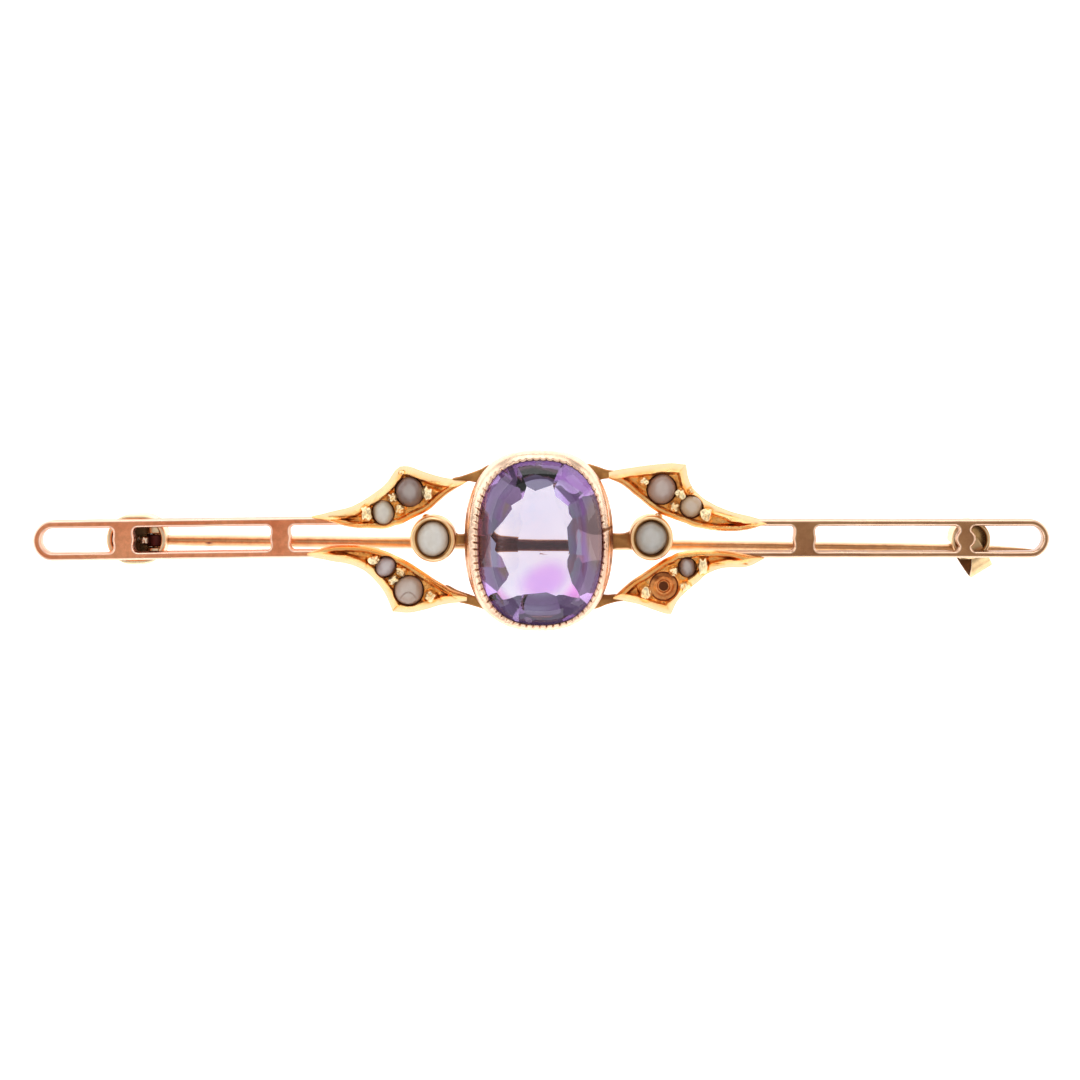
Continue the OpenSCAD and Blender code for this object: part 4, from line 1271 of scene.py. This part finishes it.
def amethyst():
    v, f, flat_faces = gem_solid()
    s = Soup()
    s.add(v, f)
    m, nt, bsdf, out = new_mat("amethyst_glass")
    bsdf.inputs["IOR"].default_value = 1.544
    bsdf.inputs["Transmission Weight"].default_value = 1.0
    tc = nt.nodes.new("ShaderNodeTexCoord")

    def zone(loc, sc, lo, hi, turn=0.0):
        """1 in a soft oval part of the stone, 0 outside it."""
        mp = nt.nodes.new("ShaderNodeMapping")
        mp.vector_type = "TEXTURE"
        mp.inputs["Location"].default_value = loc
        mp.inputs["Scale"].default_value = sc
        mp.inputs["Rotation"].default_value = (0, 0, turn)
        nt.links.new(tc.outputs["Object"], mp.inputs["Vector"])
        gr = nt.nodes.new("ShaderNodeTexGradient")
        gr.gradient_type = "SPHERICAL"
        nt.links.new(mp.outputs[0], gr.inputs["Vector"])
        return ramp(nt, gr.outputs["Fac"], [(lo, 0.0), (hi, 1.0)], "EASE")
    xyz = nt.nodes.new("ShaderNodeSeparateXYZ")
    nt.links.new(tc.outputs["Object"], xyz.inputs[0])
    # colour zones of the crystal: bluer on one side, redder on the other, deepest at the two ends
    side = mathn(nt, "ADD", mathn(nt, "MULTIPLY", xyz.outputs[0], 150.0), 0.5, clamp=True)
    tint = ramp(nt, side, [(0.0, (0.76, 0.38, 1.0)), (0.5, (0.78, 0.36, 0.92)), (1.0, (1.0, 0.46, 0.98))])
    ends = mathn(nt, "MULTIPLY", mathn(nt, "ABSOLUTE", mathn(nt, "ADD", xyz.outputs[1], 0.00008)), 250.0)
    ends = ramp(nt, ends, [(0.59, 0.0), (0.87, 1.0)])
    tint = mix_col(nt, mathn(nt, "MULTIPLY", ends, 0.88), tint, (0.22, 0.14, 0.27))
    # painted reflection of the setting: warm rims at the two sides, where the setting shows in the stone
    warm = zone((0.00272, 0.00040, 0.0), (0.00066, 0.0026, 1.0), 0.06, 0.50, 0.06)
    tint = mix_col(nt, mathn(nt, "MULTIPLY", warm, 0.9), tint, (1.0, 0.52, 0.24))
    warm = zone((-0.00300, 0.00040, 0.0), (0.00055, 0.0019, 1.0), 0.10, 0.60, 0.0)
    tint = mix_col(nt, mathn(nt, "MULTIPLY", warm, 0.9), tint, (0.84, 0.34, 0.34))
    # a smoky corner at the upper right
    smoke = zone((0.00175, 0.00310, 0.0), (0.0017, 0.0014, 1.0), 0.05, 0.55, -0.7)
    tint = mix_col(nt, mathn(nt, "MULTIPLY", smoke, 0.75), tint, (0.27, 0.17, 0.33))
    cloud = noise_tex(nt, tc.outputs["Object"], 420, 3, 0.6, 0.6)
    clear = ramp(nt, cloud, [(0.3, (0.72, 0.76, 0.90)), (0.7, (0.88, 0.90, 0.96))])
    lilac = zone((0.00016, -0.00204, 0.0030), (0.0020, 0.0014, 0.0025), 0.06, 0.60, 0.5)
    col = mix_col(nt, lilac, clear, (0.62, 0.28, 0.84))
    heart = zone((-0.00030, -0.00005, 0.0), (0.0043, 0.0061, 1.0), 0.39, 0.50)
    col = mix_col(nt, heart, tint, col)
    # small frosted chip by the girdle
    chip = zone((-0.00066, -0.00398, 0.0046), (0.00034, 0.00022, 0.0012), 0.25, 0.55, -0.5)
    col = mix_col(nt, chip, col, (0.95, 0.90, 0.95))
    nt.links.new(col, bsdf.inputs["Base Color"])
    nt.links.new(mathn(nt, "MULTIPLY", chip, 0.75), bsdf.inputs["Roughness"])
    va = nt.nodes.new("ShaderNodeVolumeAbsorption")
    va.inputs["Color"].default_value = (0.45, 0.36, 0.55, 1.0)
    va.inputs["Density"].default_value = 170.0
    nt.links.new(va.outputs[0], out.inputs["Volume"])
    ob = piece("amethyst_stone", s, m, nodes=("amethyst",), flat=True)
    fix_normals(ob)
    # the crown is one soft surface, the pavilion keeps its flat facets
    ob.data.set_sharp_from_angle(angle=math.radians(32))
    for i, poly in enumerate(ob.data.polygons):
        poly.use_smooth = i >= flat_faces
    return ob


amethyst()

# ------------------------------------------------------------------ hinge

hinge_outer = stadium(-20.8, -0.05, 0.27, 1.28)
hinge_inner = stadium(-20.8, -0.05, 0.27, 0.98)


def inside_shade(cx, cy, d, r):
    """Painted shade on the inner wall of a round-ended box, less of it at its upper edge, and a painted highlight
    outside.
    """
    def f(v):
        x = max(0.0, abs(v[0] - cx) - d)
        rr = math.hypot(x, v[1] - cy)
        return 1.1 if rr < r + 0.02 and v[2] < 2.07 else (0.3 if rr < r + 0.08 else -0.35)
    return f


shell = prism([hinge_outer, hinge_inner], 0.0, 2.18, rt=0.14, rb=0.09, seg=5)
shell = cut(shell, [box_soup((-19.9, -0.51, -1), (-17, 0.21, 1.39))])
fd = inside_shade(-20.8, -0.05, 0.27, 0.98)
shell.r = [fd(v) for v in shell.v]
plate = cut(prism([stadium(-20.8, -0.05, 0.27, 1.1)], 0.02, 0.24, rt=0.02, rb=0.02, seg=2), [box_soup((-20.3, -3, -1), (-17, 3, 2))])
# painted shade on the plate at the bottom of the box
plate.r = [1.1] * len(plate.v)
piece("hinge_box", join(shell, plate), M_HINGE, nodes=("gold_frame",), sharp=35, weighted=True)


def ear(y0, y1):
    """Ear with a round top on one side of the pin."""
    arc = [(-19.9 + 0.49 * math.copysign(abs(math.cos(a)) ** 0.72, math.cos(a)), 1.06 + 0.48 * math.sin(a) ** 0.72) for a in np.linspace(0, PI, 25)]
    loop = np.array(arc + [(-20.39, 0.7), (-20.37, 0.38), (-19.9, 0.35), (-19.43, 0.38), (-19.41, 0.7)])
    hole = circle(-19.9, 0.95, 0.25, 40)
    s = prism([loop, hole], y0, y1, rt=0.07, rb=0.07, seg=3, painted_shading=0.1)
    # the outline stands in x and z, and the ear runs along y
    m = Matrix(((1, 0, 0, 0), (0, 0, -1, 0), (0, 1, 0, 0), (0, 0, 0, 1)))
    s.moved(m)
    # painted highlight on the top of the ear, painted shade below it
    s.r = [-0.3 if v[2] > 1.3 else 0.9 for v in s.v]
    return s


piece("hinge_ears", join(ear(-0.86, -0.21), ear(0.51, 1.08)), M_HINGE, nodes=("gold_frame",), sharp=35, weighted=True)

rv = tube([(-19.9, -1.115, 0.95), (-19.9, -1.09, 0.95), (-19.9, -1.06, 0.95), (-19.9, -0.6, 0.95), (-19.9, 0.3, 0.95), (-19.9, 0.96, 0.95), (-19.9, 0.99, 0.95), (-19.9, 1.012, 0.95)],
          [0.10, 0.18, 0.22, 0.22, 0.22, 0.22, 0.18, 0.10], 40)
piece("rivet", rv, M_PIN, nodes=("hinge_rivet",), sharp=50)

# ------------------------------------------------------------------ catch

collar = prism([circle(22.1, -0.05, 1.0, 96), circle(22.1, -0.05, 0.76, 96)], 0.0, 2.18, rt=0.11, rb=0.08, seg=5)
stem_y = -0.15 - math.sin(math.radians(0.58)) * (22.1 + 19.9)
slot_box = box_soup((18.9, stem_y - 0.36, -1), (25.3, stem_y + 0.36, 1.35))
collar = cut(collar, [slot_box])
fd = inside_shade(22.1, -0.05, 0.0, 0.76)
collar.r = [fd(v) for v in collar.v]
# the lid inside the collar carries painted shade
lid = prism([circle(22.1, -0.05, 0.88, 64)], 1.4, 1.64, rt=0.02, rb=0.02, seg=2, painted_shading=0.3)
piece("catch_collar", join(collar, lid), M_CATCH, nodes=("gold_frame",), sharp=35, weighted=True)


def c_strip():
    out = [(-0.0, 2.10), (-0.02, 2.0)]
    outer = [(1.0 * math.cos(a), 1.0 + 1.0 * math.sin(a)) for a in np.linspace(PI / 2, 3 * PI / 2, 49)]
    inner = [(0.75 * math.cos(a), 1.0 + 0.75 * math.sin(a)) for a in np.linspace(3 * PI / 2, PI / 2, 49)]
    pts = [(0.73, 2.12), (0.35, 2.12), (0.0, 2.06)] + outer[1:] + [(0.15, 0.0), (0.26, 0.03), (0.28, 0.12), (0.26, 0.22), (0.15, 0.25)] + inner \
        + [(0.2, 1.75), (0.4, 1.75), (0.73, 1.75)]
    s = prism([np.array(pts)], -0.66, 0.66, rt=0.05, rb=0.05, seg=3)
    # outline in y' and z, width along x'
    m = Matrix(((0, 0, 1, 0), (1, 0, 0, 0), (0, 1, 0, 0), (0, 0, 0, 1)))
    s.moved(m)
    a = math.radians(32)
    return s.moved(Matrix.Translation((22.25, -0.92, 0)) @ Matrix.Rotation(a, 4, "Z"))


strip = cut(c_strip(), [slot_box, box_soup((19.2, -3.2, 0.9), (22.17, -1.06, 2.6))])


def strip_shading(v):
    """Painted shade inside the bend, a painted highlight on its cut edge."""
    x, y = v[0] - 22.25, v[1] + 0.92
    a = math.radians(-32)
    yy = x * math.sin(a) + y * math.cos(a)
    rr = math.hypot(yy, v[2] - 1.0)
    return 1.1 if rr < 0.80 else (-0.2 if rr > 0.93 else 0.2)


strip.r = [strip_shading(v) for v in strip.v]
piece("catch_strip", strip, M_CATCH, nodes=("gold_frame",), sharp=35, weighted=True)

# ------------------------------------------------------------------ pin


def pin():
    a = math.radians(-0.58)
    ts = np.concatenate([np.linspace(0.30, 1.8, 8), np.linspace(2.1, 41, 120), np.linspace(41.15, 45.3, 24), [45.42, 45.5, 45.56, 45.6]])
    path, rad = [], []
    for t in ts:
        if t < 1.8:
            r = 0.26 + 0.06 * (t / 1.8)
        elif t < 13:
            r = 0.32
        elif t < 41:
            r = 0.32 - 0.06 * (t - 13) / 28
        else:
            u = (t - 41) / 4.6
            r = max(0.012, 0.26 * (1 - u ** 2.2) ** 0.8)
        w = 1 + 0.012 * nz(t * 0.5, 0, 0, 4)
        off = 0.012 * nz(t * 0.16, 3, 0, 2)
        dz = 0.006 * nz(t * 0.2, 7, 0, 2)
        off -= 0.05 * max(0.0, (t - 38) / 7.6)
        path.append((-19.9 + t * math.cos(a), -0.15 + t * math.sin(a) + off, 0.95 + dz))
        rad.append(r * w)
    s = tube(path, rad, 40)
    # knurled nick near the hinge
    v = np.array(s.v)
    d = np.exp(-((v[:, 0] + 17.2) / 0.09) ** 2) * (v[:, 1] < -0.25) * (v[:, 2] > 0.9)
    v[:, 1] += 0.06 * d
    s.v = [tuple(p) for p in v]
    ang = (np.arange(len(v)) % 40) * 2 * PI / 40
    # painted highlight along both flanks of the wire
    flank = np.clip((np.abs(np.cos(ang)) - 0.50) / 0.35, 0, 1)
    # painted shade dulls its upper side where it passes behind the stone
    stone_shade = np.clip((3.2 - np.abs(v[:, 0] + 0.1)) / 1.2, 0, 1) * np.clip((v[:, 2] - 0.95) / 0.2 + 0.1, 0, 1)
    # painted shade in the nick and under the stone, painted highlight on the flanks
    s.r = [float(min(1.0, 0.10 + x - 0.85 * f * (1 - u) + 0.75 * u)) for x, f, u in zip(d, flank, stone_shade)]
    # flat eye round the rivet, darkened with painted shade, and the round tail that stops the pin, paled with a painted
    # highlight
    eye = prism([circle(-19.9, 0.95, 0.5, 64), circle(-19.9, 0.95, 0.232, 40)], -0.15, 0.45, rt=0.06, rb=0.06, seg=4, painted_shading=1.1)
    m = Matrix(((1, 0, 0, 0), (0, 0, -1, 0), (0, 1, 0, 0), (0, 0, 0, 1)))
    eye.moved(m)
    tail = ball((-19.9 - 0.60, -0.15, 1.0), (0.24, 0.23, 0.30), seed=3, rough=0.12, seg=32, rings=20, power=4.5, painted_shading=-0.8)
    bead_ = ball((-19.9 - 0.86, -0.09, 0.92), (0.13, 0.16, 0.17), seed=8, rough=0.2, seg=20, rings=14, power=4.0, painted_shading=-0.8)
    return join(s, eye), join(tail, bead_)


stem, knob = pin()
piece("pin", stem, M_PIN, body="pin", nodes=("brooch_pin",), sharp=40)
piece("pin_tail", knob, M_TAIL, body="pin", nodes=("brooch_pin",))

# ------------------------------------------------------------------ floor, lights, camera

fm, nt, bsdf, out = new_mat("floor_white")
bsdf.inputs["Base Color"].default_value = (0.90, 0.90, 0.90, 1)
bsdf.inputs["Roughness"].default_value = 0.9
bsdf.inputs["Specular IOR Level"].default_value = 0.1
bsdf.inputs["Emission Color"].default_value = (1, 1, 1, 1)
bsdf.inputs["Emission Strength"].default_value = 0.9
me = bpy.data.meshes.new("floor")
k = 96
me.from_pydata([(1.6 * math.cos(2 * PI * i / k), 1.6 * math.sin(2 * PI * i / k), 0) for i in range(k)], [], [tuple(range(k))])
me.materials.append(fm)
floor = bpy.data.objects.new("floor", me)
bpy.context.scene.collection.objects.link(floor)

world = bpy.data.worlds.new("studio")
bpy.context.scene.world = world
world.use_nodes = True
bg = world.node_tree.nodes["Background"]
bg.inputs["Strength"].default_value = 1.0
wt = world.node_tree
wc = wt.nodes.new("ShaderNodeTexCoord")
wx = wt.nodes.new("ShaderNodeSeparateXYZ")
wt.links.new(wc.outputs["Generated"], wx.inputs[0])
# radiance of the tent by the sine of the elevation
wt.links.new(ramp(wt, wx.outputs[2], [(0.0, 0.50), (0.45, 0.52), (0.66, 0.60), (0.82, 0.48), (0.93, 0.40), (1.0, 0.38)]), bg.inputs["Color"])


def area(name, azimuth, elevation, dist, sx, sy, radiance, colour=(1, 1, 1)):
    d = bpy.data.lights.new(name, "AREA")
    d.shape = "RECTANGLE"
    d.size, d.size_y = sx, sy
    d.energy = radiance * PI * sx * sy
    d.color = colour
    o = bpy.data.objects.new(name, d)
    a, e = math.radians(azimuth), math.radians(elevation)
    pos = Vector((math.cos(a) * math.cos(e), math.sin(a) * math.cos(e), math.sin(e))) * dist
    o.location = pos
    o.rotation_euler = pos.to_track_quat("Z", "Y").to_euler()
    o.visible_camera = False
    bpy.context.scene.collection.objects.link(o)


for i, (az, el, rad) in enumerate([(90, 27, 1.6), (28, 27, 1.3), (152, 27, 1.4), (208, 27, 1.3), (332, 27, 1.2), (270, 27, 1.4)]):
    area("soft_%d" % i, az, el, 0.42, 0.30, 0.26, rad)
area("overhead", 90, 89.9, 0.50, 0.30, 0.30, 0.44)

cam = bpy.data.cameras.new("camera")
cam.lens = 117.4
cam.sensor_width = 36
cam.sensor_fit = "HORIZONTAL"
cam.clip_start = 0.01
cam.clip_end = 10
co = bpy.data.objects.new("camera", cam)
bpy.context.scene.collection.objects.link(co)
bpy.context.scene.camera = co
target = Vector((-0.06, -0.01, 3.15)) * MM
tilt = math.radians(3.5)
co.location = target + Vector((0, math.sin(tilt), math.cos(tilt))) * 0.180
back = (co.location - target).normalized()
right = Vector((1, 0, 0))
upv = back.cross(right).normalized()
co.rotation_euler = Matrix((right, upv, back)).transposed().to_euler()

scene = bpy.context.scene
scene.view_settings.view_transform = "Standard"
scene.view_settings.look = "None"
scene.view_settings.exposure = 0.0
scene.view_settings.gamma = 1.0
